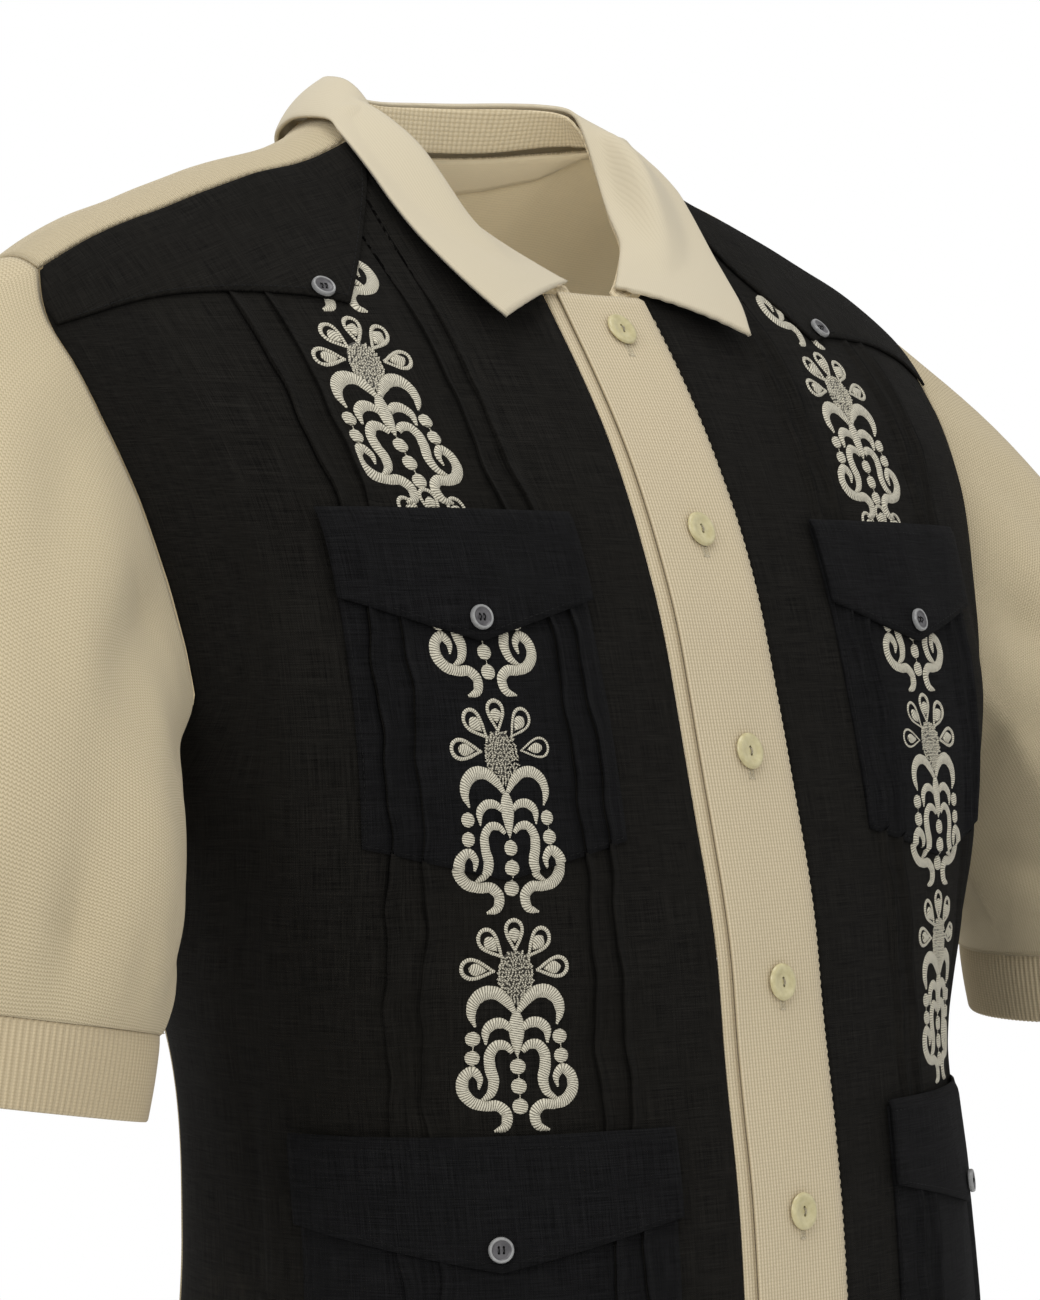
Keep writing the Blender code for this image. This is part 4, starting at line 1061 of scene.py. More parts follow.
def tuck_rise(lines, height):
    """Height of the folded tucks at base lines: a slow rise to a fold, then a sharp step down."""
    rise = np.zeros(np.broadcast(lines, height).shape)
    for place in TUCKS:
        gap = lines - place
        up = np.clip((gap + 3.2) / 3.1, 0, 1) ** 1.4
        rise = np.maximum(rise, np.where(gap <= -0.05, np.where(gap > -3.2, up, 0.0), 0.0))
        dip = np.where((gap > -0.05) & (gap < 1.2), -0.55, 0.0)
        rise = np.where(dip < 0, dip, rise)
    return rise * TUCK_RISE


def chest_drift(height, sign):
    """How far the right front's inner lines are pulled towards the arm over the chest."""
    return CHEST_PULL * np.exp(-((np.asarray(height, float) + 136.0) / 54.0) ** 2) * (sign < 0)


def tuck_shift(lines, height, sign):
    """How far base lines wander sideways with the tucks; each fold's free edge hangs over its step."""
    total = np.zeros(np.broadcast(lines, height).shape)
    for place in TUCKS:
        gap = lines - place
        total = total + tuck_wave(height, place) * np.exp(-(gap / 5.0) ** 2)
        total = total + TUCK_OVERHANG * np.clip((gap + 1.8) / 1.7, 0, 1) * (gap < 0)
    inner = (TUCKS[0] + TUCKS[1]) / 2
    return total + chest_drift(height, sign) * np.exp(-((lines - inner) / 16.0) ** 2)


# Fronts and back

ROWS_LOW = lines_between(HEM, UPPER, 4.0)
ROWS_HIGH = np.linspace(0.0, 1.0, 28)[1:]


def front_sheet(sign, inner):
    lines = tuck_lines(inner, LAST_LINE, 4.2)
    shares = np.linspace(0.0, 1.0, 25)[1:]
    level = ROWS_LOW[:, None]
    girth = lean(lines[None] + tuck_shift(lines[None], level, sign), level)
    girth[:, 0] = inner
    edge = armhole_girth(ROWS_LOW, True)[:, None]
    last = lean(LAST_LINE, level)
    girth = np.concatenate((girth, last + (edge - last) * shares[None]), axis=1)
    rise = tuck_rise(lines[None], level)
    rise = np.concatenate((rise, np.zeros((len(ROWS_LOW), len(shares)))), axis=1)
    low = body_point(girth * sign, level, True, 0.0)
    top = body_point(girth * sign, level, True, LINEN + rise)
    start = across_at(girth[-1], UPPER, True)
    n = len(lines)
    end = start * (1.0 + 0.02 * np.minimum(start, 150) / 150)
    end[n:] = end[n - 1] + (SHOULDER_TIP - end[n - 1]) * shares
    t = ROWS_HIGH[:, None]
    x = start + (end - start) * t
    bow = np.clip((np.arange(len(x[0])) - (n - 1)) / len(shares), 0, 1) ** 3
    x = x + 4.0 * np.sin(pi * t) * bow
    low_roll = roll_at(start, UPPER, True)
    roll = low_roll + (front_top(end) - low_roll) * t
    height = UPPER + roll - low_roll
    fade = ease((-62.0 - height) / 30.0)
    rise = tuck_rise(lines[None], height[:, :n]) * fade[:, :n]
    rise = np.concatenate((rise, np.zeros((len(t), len(shares)))), axis=1)
    low = np.concatenate((low, roll_point(x * sign, roll, 0.0)))
    top = np.concatenate((top, roll_point(x * sign, roll, LINEN + rise)))
    along = np.concatenate((np.broadcast_to(level, girth.shape), height))
    across = np.broadcast_to(girth[len(girth) // 2], along.shape)
    return low, top, np.stack((across * sign, along), axis=-1)


BACK_LINE_COLUMNS = ("girth", "top_across")
BACK_LINES = ((0, 0), (22, 22), (44, 43), (62, 61), (77, 74.5), (91, 81.6), (106, 87),
              (130, 116), (158, 149), (188, 181), (218, 211))


def back_top(across):
    neck = smooth(across, column(NECK_BACK, NECK_COLUMNS, "across"),
                  column(NECK_BACK, NECK_COLUMNS, "height"))
    low = roll_at(across, neck, False)
    high = roll_at(across, ridge(across) - SHOULDER_SEAM_DROP + 1.2, True)
    return np.where(across <= 81, low, low + (high - low) * ease((across - 81) / 4.0))


def back_sheet():
    base = column(BACK_LINES, BACK_LINE_COLUMNS, "girth")
    tops = column(BACK_LINES, BACK_LINE_COLUMNS, "top_across")
    whole = 272.0
    share = lines_between(0.0, 1.0, 1 / 66.0)
    level = ROWS_LOW[:, None]
    girth = share[None] * armhole_girth(ROWS_LOW, False)[:, None]
    start = across_at(girth[-1], UPPER, False)
    tops = np.interp(share * whole, np.append(base, whole), np.append(tops, SHOULDER_TIP))
    both = lambda row: np.concatenate((-row[..., :0:-1], row), axis=-1)
    girth = both(girth)
    low = body_point(girth, level, False, 0.0)
    top = body_point(girth, level, False, KNIT)
    t = lines_between(0.0, 1.0, 1 / 44.0)[1:, None]
    x = start + (tops - start) * t
    x = x + 4.0 * np.sin(pi * t) * np.clip((share - 0.8) / 0.2, 0, 1) ** 3
    first = roll_at(start, UPPER, False)
    roll = first + (back_top(tops) - first) * t
    roll = np.concatenate((roll[:, :0:-1], roll), axis=1)
    low = np.concatenate((low, roll_point(both(x), roll, 0.0)))
    top = np.concatenate((top, roll_point(both(x), roll, KNIT)))
    height = UPPER + (np.concatenate((first[:0:-1], first)) - roll)
    along = np.concatenate((np.broadcast_to(level, girth.shape), height))
    across = np.broadcast_to(girth[len(girth) // 2], along.shape)
    return low, top, np.stack((across, along), axis=-1)


def build_body():
    made = {}
    low, top, pattern = back_sheet()
    made["back"] = (low, top)
    # The inside face of the back gets the jersey painted lighter, standing in for light inside the neck.
    panel("back_panel", low, top, pattern, JERSEY, KNIT, "back", LIT_INNER_JERSEY)
    for name, sign, inner in (("left", 1, BAND_HALF + SEAM), ("right", -1, -UNDER_BAND[0] + SEAM)):
        low, top, pattern = front_sheet(sign, inner)
        made[name] = (low, top)
        panel("front_panel_" + name, low, top, pattern, FRONT_LINEN, LINEN, "front_" + name)
    return made


def build_neck_tape(back_low):
    middle = back_low.shape[1] // 2
    reach = int(middle * TAPE_SHARE)
    strip = back_low[-8:, middle - reach:middle + reach + 1]
    normal = grid_normals(strip)
    if normal[-2, reach][1] < 0:
        normal = -normal
    t = np.linspace(0, 1, 8)[:, None, None]
    rows = strip - normal * (0.55 + 0.9 * np.sin(pi * np.clip(t, 0.04, 1)) ** 0.6)
    run = run_along(rows[0])
    pattern = paired(run[None], np.arange(8)[:, None] * 3.0)
    cloth("neck_tape_strip", [(rows, pattern, -normal)], TAPE_KNIT, 0.5, ("neck_tape",))


# Bands down the front

def build_bands():
    levels = np.concatenate((lines_between(HEM, -110.0, 3.5), lines_between(-106.0, BAND_TOP, 3.3)))
    for name, node, low_edge, high_edge in (("band_under", "placket_under", *UNDER_BAND),
                                            ("band_over", "placket_over", -BAND_HALF, BAND_HALF)):
        lines = np.concatenate(([low_edge, low_edge + 0.5],
                                lines_between(low_edge + 1.6, high_edge - 1.6, 2.6),
                                [high_edge - 0.5, high_edge]))
        if name == "band_over":
            base = BAND_LIFT - 1.5 * ease((lines - UNDER_BAND[1] - SEAM) / 6.5)
        else:
            base = np.zeros(len(lines))
        edge = np.minimum(lines - low_edge, high_edge - lines)
        round_off = -0.5 * (1 - np.sqrt(np.clip(edge / 0.9, 0, 1)))
        low = body_point(lines[None], levels[:, None], True, base[None])
        top = body_point(lines[None], levels[:, None], True, (base + KNIT + round_off)[None])
        pattern = paired(lines[None], levels[:, None])
        panel(name, low, top, pattern, BAND_KNIT, KNIT, node)


# Yokes, pockets and flaps

def yoke_point(c, t, off, sign):
    across = column(YOKE_LOWER, YOKE_COLUMNS, "across")
    height = column(YOKE_LOWER, YOKE_COLUMNS, "height")
    c, t = np.broadcast_arrays(np.asarray(c, float), np.asarray(t, float))
    x_top = YOKE_NECK_SIDE + (SHOULDER_TIP - 1.0 - YOKE_NECK_SIDE) * c
    x_low = across[0] + (across[-1] - across[0]) * c
    x = x_top + (x_low - x_top) * t - YOKE_BOW * np.sin(pi * t) * (1 - c) + 4 * np.sin(pi * t * 0.85) * c ** 3
    r_top = roll_at(x_top, ridge(x_top) - SHOULDER_SEAM_DROP - 0.4, True)
    r_low = roll_at(x_low, smooth(x_low, across, height), True)
    roll = r_top + (r_low - r_top) * t
    return roll_point(x * sign, roll, off), x, roll


def build_yoke(name, sign):
    c = lines_between(0.0, 1.0, 1 / 54.0)[None]
    t = lines_between(0.0, 1.0, 1 / 30.0)[:, None]
    edge = np.minimum(np.minimum(c * 150, (1 - t) * 80), 6.0)
    seam = -0.28 * np.exp(-((edge - 2.6) / 0.9) ** 2)
    low, x, roll = yoke_point(c, t, YOKE_LIFT, sign)
    top, x, roll = yoke_point(c, t, YOKE_LIFT + LINEN + seam, sign)
    pattern = np.stack((x * sign, roll), axis=-1)
    panel("yoke_panel_" + name, low, top, pattern, FRONT_LINEN, LINEN, "yoke_" + name)


def pointed(girth, inner, outer, corner, point):
    middle = (inner + outer) / 2
    return point + (corner - point) * np.abs(girth - middle) / (outer - middle)


def from_edge(lines, level, inner, outer, head, foot):
    """How far each place on a pocket or flap lies from its nearest edge."""
    side = np.minimum(lines - inner, outer - lines)[None]
    return np.minimum(side, np.minimum(head - level, level - foot[None]))


def sewn_edge(edge, seam):
    """Outline of a topstitched edge: a groove at the stitches, and a rounded rim."""
    return -0.3 * np.exp(-((edge - seam) / 0.8) ** 2) - 0.35 * (1 - np.sqrt(np.clip(edge / 0.8, 0, 1)))


def build_pocket(name, sign, pocket):
    inner, outer, head, corner, point = pocket
    lines = tuck_lines(inner, outer, 3.2)
    foot = pointed(lines, inner, outer, corner, point)
    share = lines_between(0.0, 1.0, 1 / 46.0)[:, None]
    level = head + (foot - head)[None] * share
    girth = lines[None] + tuck_shift(lines[None], level, sign)
    girth[:, 0] = inner
    girth[:, -1] = outer
    edge = from_edge(lines, level, inner, outer, head, foot)
    seam = sewn_edge(edge, 2.2)
    slack = 0.5 * ease(edge / 14.0) * np.sin(level / 23.0 + lines[None] / 17.0)
    rise = tuck_rise(lines[None], level) * ease(edge / 3.0)
    low = front_cloth(girth, level, LINEN + LAYER + rise, sign)
    top = front_cloth(girth, level, LINEN + LAYER + LINEN + rise + seam + np.maximum(slack, 0) * 0.6, sign)
    pattern = paired(lines[None] * sign, level)
    panel("pocket_patch_" + name, low, top, pattern, POCKET_LINEN, LINEN, "pocket_" + name)


def build_flap(name, sign, pocket):
    inner, outer, head = pocket[:3]
    inner = inner - FLAP_SIDE
    outer = outer + FLAP_SIDE
    head = head + FLAP_RISE
    lines = lines_between(inner, outer, 3.0)
    foot = pointed(lines, inner, outer, head - FLAP_DEPTH, head - FLAP_DEPTH - FLAP_POINT)
    share = lines_between(0.0, 1.0, 1 / 22.0)[:, None]
    level = head + (foot - head)[None] * share
    lift = FLAP_LIFT - 0.9 * (1 - ease(share / 0.12)) + 0.2 * np.sin(pi * share)
    edge = from_edge(lines, level, inner, outer, head, foot)
    seam = sewn_edge(edge, 2.4)
    ripple = 0.35 * np.sin(lines[None] / 9.0 + level / 15.0) * ease(edge / 8.0)
    low = front_cloth(lines[None], level, lift, sign)
    top = front_cloth(lines[None], level, lift + LINEN + seam + ripple, sign)
    pattern = paired(lines[None] * sign, level)
    panel("flap_patch_" + name, low, top, pattern, POCKET_LINEN, LINEN, "flap_" + name)
    middle = (inner + outer) / 2
    return middle, head - FLAP_DEPTH - FLAP_POINT + 9.0, FLAP_LIFT + LINEN


# Collar

def both_halves(half):
    return np.concatenate((half[:0:-1] * np.array((-1.0, 1.0, 1.0)), half))


def outward_side(points, normal):
    sense = np.sum(normal * (points - np.array((0.0, -10.0, -60.0))), axis=-1)
    return normal * (-1.0 if np.mean(sense) < 0 else 1.0)


def lifted(points, least):
    """Move points out until they lie at least that far off the torso form."""
    x, y, z = points[..., 0], points[..., 1], points[..., 2]
    line = torso(z, "side_line")
    front = y < line
    roll = np.where(front, FRONT_ROLL, BACK_ROLL)
    depth = np.where(front, torso(z, "front_depth"), torso(z, "back_depth"))
    power = torso(z, "squareness")
    lateral = (1 - np.minimum(np.abs(x) / torso(z, "half_width"), 1.0) ** power) ** (1 / power)
    arm = np.stack((y - line, np.maximum(roll - (ridge(x) - z), 0.0)), axis=-1)
    size = np.maximum(np.linalg.norm(arm, axis=-1), 1e-6)
    reach = np.hypot(arm[..., 0] / (depth * lateral), arm[..., 1] / roll)
    need = size / np.maximum(reach, 1e-6) + least[:, None]
    grown = arm * np.where(size < need, need / size, 1.0)[..., None]
    out = points.copy()
    out[..., 1] += grown[..., 0] - arm[..., 0]
    out[..., 2] += grown[..., 1] - arm[..., 1]
    return out


def clear_of_stand(points, fold, foot, normal, gap):
    line = foot - fold
    length = np.linalg.norm(line, axis=1, keepdims=True)
    line = line / length
    along = np.sum((points - fold) * line, axis=2, keepdims=True)
    height = np.sum((points - fold - line * along) * normal, axis=2, keepdims=True)
    push = np.maximum(gap - height, 0.0) * ease((length * 1.2 - along) / 4.0)
    return points + normal * push


def finer(points, count):
    """More points along a curve given as rows of places."""
    old = np.arange(len(points), dtype=float)
    new = np.linspace(0, len(points) - 1, count)
    return np.stack([smooth(new, old, points[:, k]) for k in range(points.shape[1])], axis=-1)


def build_collar():
    fold, foot, edge = [], [], []
    for fx, fy, fz, bx, bz, ex, ez, lift, front in COLLAR:
        fold.append((fx, fy, fz))
        foot.append(roll_point(np.array(bx), roll_at(np.array(bx), bz, bool(front)), 0.0))
        edge.append(roll_point(np.array(ex), roll_at(np.array(ex), ez, bool(front)), lift))
    count = 181
    fold, foot, edge = (finer(both_halves(np.array(part, float)), count) for part in (fold, foot, edge))
    run = run_along(foot)
    shares = np.linspace(0.06, 0.93, 12)
    strip = np.array([foot + (fold - foot) * s for s in shares])
    normal = outward_side(strip, grid_normals(strip))
    depth = np.linalg.norm(fold - foot, axis=1)
    pattern = paired(run[None], shares[:, None] * depth[None])
    inside = strip - normal * 1.6
    ribs = 0.30 * np.cos(tau * run / 2.9)[None]
    ribbed = inside + normal * ribs[..., None] * 0.5
    cloth("collar_stand_band", [(ribbed, pattern, -normal)], WAFFLE_KNIT, 1.4, ("collar_stand",))
    stand_normal = normal[6]
    shares = column(LEAF_ROWS, LEAF_COLUMNS, "share")
    fine = np.concatenate(([0.02, 0.05, 0.09, 0.14], lines_between(0.19, 0.97, 0.045), [0.985, 1.0]))
    leaf = np.array([fold + (edge - fold) * s for s in fine])
    normal = outward_side(leaf, grid_normals(leaf))
    leaf = leaf + normal * (0.6 + 4 * fine * (1 - fine) * COLLAR_ROLL)[:, None, None]
    leaf = lifted(leaf, np.interp(fine, shares, column(LEAF_ROWS, LEAF_COLUMNS, "least_lift")))
    leaf = clear_of_stand(leaf, fold, foot, stand_normal, 1.0)
    for _ in range(2):
        inner_part = (leaf[:-2] + 2 * leaf[1:-1] + leaf[2:]) / 4
        leaf = np.concatenate((leaf[:1], inner_part, leaf[-1:]))
    normal = outward_side(leaf, grid_normals(leaf))
    run = run_along(edge)
    end = np.minimum(run, run[-1] - run)[None]
    width = np.linalg.norm(edge - fold, axis=1)[None]
    tip = (1 - fine)[:, None] * width
    welt = 0.45 * np.exp(-((end - 2.0) / 1.5) ** 2) - 0.5 * np.exp(-((end - 4.6) / 0.8) ** 2)
    soft = 0.28 * np.sin(run / 13.0)[None] * np.sin(pi * fine)[:, None] - 0.5 * np.exp(-(tip / 0.7) ** 2)
    ragged = 0.25 * np.sin(tip / 0.9) * np.exp(-(end / 1.2) ** 2)
    top = leaf + normal * (KNIT + welt * 0.7 + soft + ragged)[..., None]
    pattern = paired(run[None], tip)
    cloth("collar_leaf", [(top, pattern, normal)], COLLAR_KNIT, KNIT, ("collar",))


# Sleeves

def armhole_ring(front, back, edge, rows):
    """Edge points round an armhole, from the underarm up the front and down the back."""
    f = front[rows:, -1]
    b = back[rows:, edge]
    under = (f[0] + b[0]) / 2
    tip = (f[-1] + b[-1]) / 2
    ring = np.concatenate(([under], f[1:-1], [tip], b[-2:0:-1]))
    return ring, len(f) - 1


def even_ring(ring, turn, count):
    """Resample the two halves of an armhole, front and back, to even steps."""
    closed = np.concatenate((ring, ring[:1]))
    out = []
    for part in (closed[:turn + 1], closed[turn:]):
        run = run_along(part)
        q = np.linspace(0, run[-1], count + 1)[:-1]
        out.append(np.stack([np.interp(q, run, part[:, k]) for k in range(3)], axis=-1))
    return np.concatenate(out)


def build_sleeve(name, sign, front, back):
    edge = -1 if sign > 0 else 0
    rows = int(np.argmin(np.abs(ROWS_LOW - UNDERARM)))
    half = 76
    inner, turn = armhole_ring(front[0], back[0], edge, rows)
    outer, turn = armhole_ring(front[1], back[1], edge, rows)
    inner = even_ring(inner, turn, half)
    outer = even_ring(outer, turn, half)
    count = 2 * half
    normal = unit(outer - inner)
    normal = unit(np.roll(normal, 2, axis=0) + 2 * normal + np.roll(normal, -2, axis=0))
    tangent = unit(np.roll(inner, -2, axis=0) - np.roll(inner, 2, axis=0))
    away = unit(np.cross(normal, tangent))
    if away[half][0] * sign < 0:
        away = -away
    tilt = radians(CUFF_TILT)
    axis = np.array((sin(tilt) * sign, 0.0, -cos(tilt)))
    wide = np.array((cos(tilt) * sign, 0.0, sin(tilt)))
    fore = np.array((0.0, -1.0, 0.0))
    centre = np.array(CUFF_CENTRE) * np.array((sign, 1.0, 1.0))
    angle = np.arange(count) * tau / count
    share = (1 - np.cos(angle)) / 2
    under = ease(1 - share / 0.4)[:, None]
    start = inner + away * ARMHOLE_GAP + normal * under * UNDERARM_EASE
    radial = -np.cos(angle)[:, None] * wide + np.sin(angle)[:, None] * fore
    end = centre + CUFF_RADIUS * radial - axis * 0.5
    lead = unit(wide * (0.50 + 0.45 * share)[:, None] + fore * (0.60 * np.sin(angle))[:, None]
                + axis * (0.80 - 0.35 * share)[:, None])
    reach = np.linalg.norm(end - start, axis=1)[:, None]
    t0 = lead * reach * 1.05
    t1 = (axis * 0.85 - radial * 0.34) * reach
    steps = np.concatenate(([0.0, 0.008], lines_between(0.02, 0.985, 0.0155), [0.993, 1.0]))
    t = steps[:, None, None]
    grid = ((1 + 2 * t) * (1 - t) ** 2 * start + t * (1 - t) ** 2 * t0
            + t * t * (3 - 2 * t) * end + t * t * (t - 1) * t1)
    middle = grid.mean(axis=1, keepdims=True)

    def facing(points):
        direction = grid_normals(points, ring=True)
        return direction * (-1.0 if np.mean(np.sum(direction * (points - middle), axis=-1)) < 0 else 1.0)

    direction = facing(grid)
    place = (angle / tau)[None]
    along = steps[:, None]
    depth = np.zeros((len(steps), count))
    for at, drift, half_width, deep in SLEEVE_FOLDS:
        gap = (place - at - drift * along + 0.5) % 1.0 - 0.5
        depth = depth + deep * np.exp(-(gap / half_width) ** 2)
    length = float(np.mean(reach)) * 1.06
    for at, down, turn_angle, crease_length, crease_width, deep in SLEEVE_CREASES:
        a = radians(turn_angle)
        dx = ((place - at + 0.5) % 1.0 - 0.5) * SLEEVE_GIRTH * (1.0 if sign < 0 else 0.94)
        dy = (along - down) * length
        run = dy * cos(a) + dx * sin(a)
        cross = dx * cos(a) - dy * sin(a) + 0.0018 * run * run
        depth = depth + deep * np.exp(-(cross / crease_width) ** 2 - (run / crease_length) ** 2)
    ripple = np.sin(place * tau * 5 + along * 7.0) * np.sin(along * 16 + place * 9.0) * 0.5
    blouse = 1.6 * np.exp(-((1 - along) / 0.05) ** 2) * (1 - (1 - ease((1 - along) / 0.02)) * 0.9)
    shape = np.clip(np.sin(pi * along) * 2.2, 0.0, 1.0) ** 0.8
    grid = grid + direction * ((depth + ripple) * shape + blouse * 0.5)[..., None]
    direction = facing(grid)
    for k in range(8):
        q = under * (1 - k / 8.0)
        flat_normal = normal * (1 - under) + direction[k] * under
        direction[k] = unit(flat_normal * (1 - k / 8.0) + direction[k] * (k / 8.0))
    direction[-1] = unit(direction[-1] - axis * np.sum(direction[-1] * axis, axis=-1, keepdims=True))
    top = grid + direction * KNIT
    seam = -0.5 * np.exp(-((steps * length - 0.0) / 1.6) ** 2)
    top = top + direction * seam[:, None, None]
    top = np.concatenate((top, top[:, :1]), axis=1)
    direction = np.concatenate((direction, direction[:, :1]), axis=1)
    girth = np.linspace(0.0, SLEEVE_GIRTH, count + 1) * sign
    pattern = paired(girth[None], (steps * length)[:, None])
    cloth("sleeve_tube_" + name, [(top, pattern, direction)], JERSEY, KNIT,
          ("sleeve_" + name,), weld=True)
    build_cuff(name, sign, centre, axis, wide, fore)


def build_cuff(name, sign, centre, axis, wide, fore):
    """Ribbed band round the end of a sleeve, four lines to each rib."""
    count = CUFF_RIBS * 4
    angle = np.arange(count + 1) * tau / count
    radial = np.cos(angle)[:, None] * wide + np.sin(angle)[:, None] * fore
    rib = 0.55 * np.cos(angle * CUFF_RIBS)
    steps = np.concatenate(([0.0, 0.4, 1.2], lines_between(3.0, CUFF_LENGTH - 2.0, 3.1),
                            [CUFF_LENGTH - 1.2, CUFF_LENGTH - 0.5, CUFF_LENGTH]))
    edge = CUFF_LENGTH - steps
    draw = 0.35 * ease(1 - steps / 5.0)
    puff = 0.5 * np.sin(steps / CUFF_LENGTH * pi) - 0.55 * (1 - np.sqrt(np.clip(edge / 1.0, 0, 1))) - draw
    wave = 0.6 * np.sin(angle * 3 + 0.5) + 0.4 * np.sin(angle * 7 + 1.1)
    radius = CUFF_RADIUS + 1.6 + (-1.4 * steps / CUFF_LENGTH + puff)[:, None] + (rib * 1.0)[None] \
        + wave[None] * (steps / CUFF_LENGTH)[:, None]
    core = centre + axis * (steps - 0.4)[:, None, None]
    points = core + radial[None] * radius[..., None]
    girth = angle / tau * CUFF_RIBS * RIB_PITCH * sign
    pattern = paired(girth[None], steps[:, None])
    outward = np.broadcast_to(radial[None], points.shape)
    cloth("cuff_rib_" + name, [(points, pattern, outward)], RIBBING, 1.4,
          ("cuff_" + name,), weld=True)


# Buttons

def turned(bm, profile, sides):
    """Spin a profile of (radius, height) round Z into a closed disc."""
    verts = [bm.verts.new((r * MM, 0.0, h * MM)) for r, h in profile]
    edges = [bm.edges.new(pair) for pair in zip(verts, verts[1:])]
    bmesh.ops.spin(bm, geom=verts + edges, cent=(0, 0, 0), axis=(0, 0, 1), angle=tau, steps=sides,
                   use_merge=True, use_duplicate=False)
    bmesh.ops.remove_doubles(bm, verts=bm.verts, dist=0.000005)


BUTTON_PROFILE_COLUMNS = ("radius_share", "height")
DARK_PROFILE = ((0.0, 0.0), (0.86, 0.0), (0.98, 0.45), (1.0, 1.0), (0.985, 1.75), (0.93, 2.25), (0.86, 2.35),
                (0.77, 2.2), (0.70, 1.75), (0.60, 1.55), (0.30, 1.45), (0.0, 1.42))
PALE_PROFILE = ((0.0, 0.0), (0.80, 0.0), (0.96, 0.5), (1.0, 1.05), (0.97, 1.7), (0.90, 2.1), (0.80, 2.25),
                (0.64, 2.15), (0.50, 1.8), (0.42, 1.66), (0.20, 1.6), (0.0, 1.6))


def drilled_button(profile, diameter, holes):
    """Button body with its thread holes cut right through."""
    bm = bmesh.new()
    turned(bm, [(share * diameter / 2, height) for share, height in profile], 48)
    bmesh.ops.recalc_face_normals(bm, faces=bm.faces)
    mesh = bpy.data.meshes.new("button blank")
    bm.to_mesh(mesh)
    bm.free()
    blank = bpy.data.objects.new("button blank", mesh)
    bpy.context.scene.collection.objects.link(blank)
    bm = bmesh.new()
    for x, y, radius in holes:
        made = bmesh.ops.create_cone(bm, cap_ends=True, segments=14, radius1=radius * MM, radius2=radius * MM,
                                     depth=8 * MM)["verts"]
        bmesh.ops.translate(bm, verts=made, vec=(x * MM, y * MM, 1.0 * MM))
    drill_mesh = bpy.data.meshes.new("drill")
    bm.to_mesh(drill_mesh)
    bm.free()
    drill = bpy.data.objects.new("drill", drill_mesh)
    bpy.context.scene.collection.objects.link(drill)
    cut = blank.modifiers.new("holes", "BOOLEAN")
    cut.operation = "DIFFERENCE"
    cut.object = drill
    cut.solver = "EXACT"
    graph = bpy.context.evaluated_depsgraph_get()
    result = bpy.data.meshes.new_from_object(blank.evaluated_get(graph))
    bpy.data.objects.remove(blank)
    bpy.data.objects.remove(drill)
    return result


HOLE_COLUMNS = ("across", "up", "radius")
FOUR_HOLES = ((-1.0, -1.15, 0.52), (1.0, -1.15, 0.52), (-1.0, 1.15, 0.52), (1.0, 1.15, 0.52))
TWO_HOLES = ((0.0, -1.55, 0.72), (0.0, 1.55, 0.72))


def thread_tube(bm, points, radius, sides=6):
    """Round thread along a few points."""
    path = np.asarray(points, float)
    step = unit(np.gradient(path, axis=0))
    side = unit(np.cross(step, np.array((0.31, 0.87, 0.39))))
    over = np.cross(step, side)
    angle = np.linspace(0, tau, sides + 1)
    round_side = side[:, None] * np.cos(angle)[None, :, None] + over[:, None] * np.sin(angle)[None, :, None]
    ring = path[:, None] + radius * round_side
    made = bmesh.ops.create_grid(bm, x_segments=sides, y_segments=len(path) - 1, size=1.0)["verts"]
    for vert, place in zip(made, ring.reshape(-1, 3) * MM):
        vert.co = place
    bmesh.ops.remove_doubles(bm, verts=made, dist=0.00001)


def place_button(name, node, body_mesh, centre, normal, finish, threads, thread_colour, height,
                 rim=None, rim_from=0.0):
    up = np.array((0.0, 0.0, 1.0))
    across = unit(np.cross(up, normal))
    along = unit(np.cross(normal, across))
    bm = bmesh.new()
    bm.from_mesh(body_mesh)
    for face in bm.faces:
        middle = face.calc_center_median()
        face.material_index = 2 if rim and middle.x ** 2 + middle.y ** 2 > (rim_from * MM) ** 2 else 0
    table = np.array([v.co for v in bm.verts])
    moved = centre * MM + table[:, :1] * across + table[:, 1:2] * along + table[:, 2:] * normal
    for vert, spot in zip(bm.verts, moved):
        vert.co = spot
    for face in bm.faces:
        face.smooth = True
    body_faces = len(bm.faces)
    for start, end in threads:
        a0 = np.array(start, float)
        b0 = np.array(end, float)
        path = []
        for s in np.linspace(0, 1, 9):
            flat = a0 + (b0 - a0) * s
            lift = height - 2.4 * (abs(2 * s - 1) ** 6) + 0.35 * sin(pi * s)
            path.append(centre + across * flat[0] + along * flat[1] + normal * lift)
        thread_tube(bm, path, 0.30)
    bm.faces.ensure_lookup_table()
    for face in bm.faces[body_faces:]:
        face.material_index = 1
        face.smooth = True
    bmesh.ops.recalc_face_normals(bm, faces=bm.faces)
    mesh = bpy.data.meshes.new(name)
    bm.to_mesh(mesh)
    bm.free()
    mesh.uv_layers.new(name="pattern")
    mesh.materials.append(finish)
    mesh.materials.append(thread_colour)
    if rim:
        mesh.materials.append(rim)
    piece = bpy.data.objects.new(name, mesh)
    bpy.context.scene.collection.objects.link(piece)
    sharp = piece.modifiers.new("edges", "EDGE_SPLIT")
    sharp.split_angle = radians(42)
    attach(piece, "root")
    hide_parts(node)


def surface_frame(point_of):
    here = point_of(0.0)
    return here, unit(point_of(1.0) - here)


# Embroidery and sewing

def build_embroidery(name, sign):
    ground = front_ground(sign)
    sheets = []
    seeds = []
    for number, row in enumerate(MOTIF_ROWS):
        satin, seed = motif_sheets(row, sign, ground, False, number + 1)
        sheets += satin
        seeds += seed
    sheets += motif_sheets(FOOT_ROW, sign, ground, True, 9)[0]
    cloth("embroidery_" + name, sheets, SILVER_THREAD)
    cloth("seed_ground_" + name, seeds, SEED_GROUND)


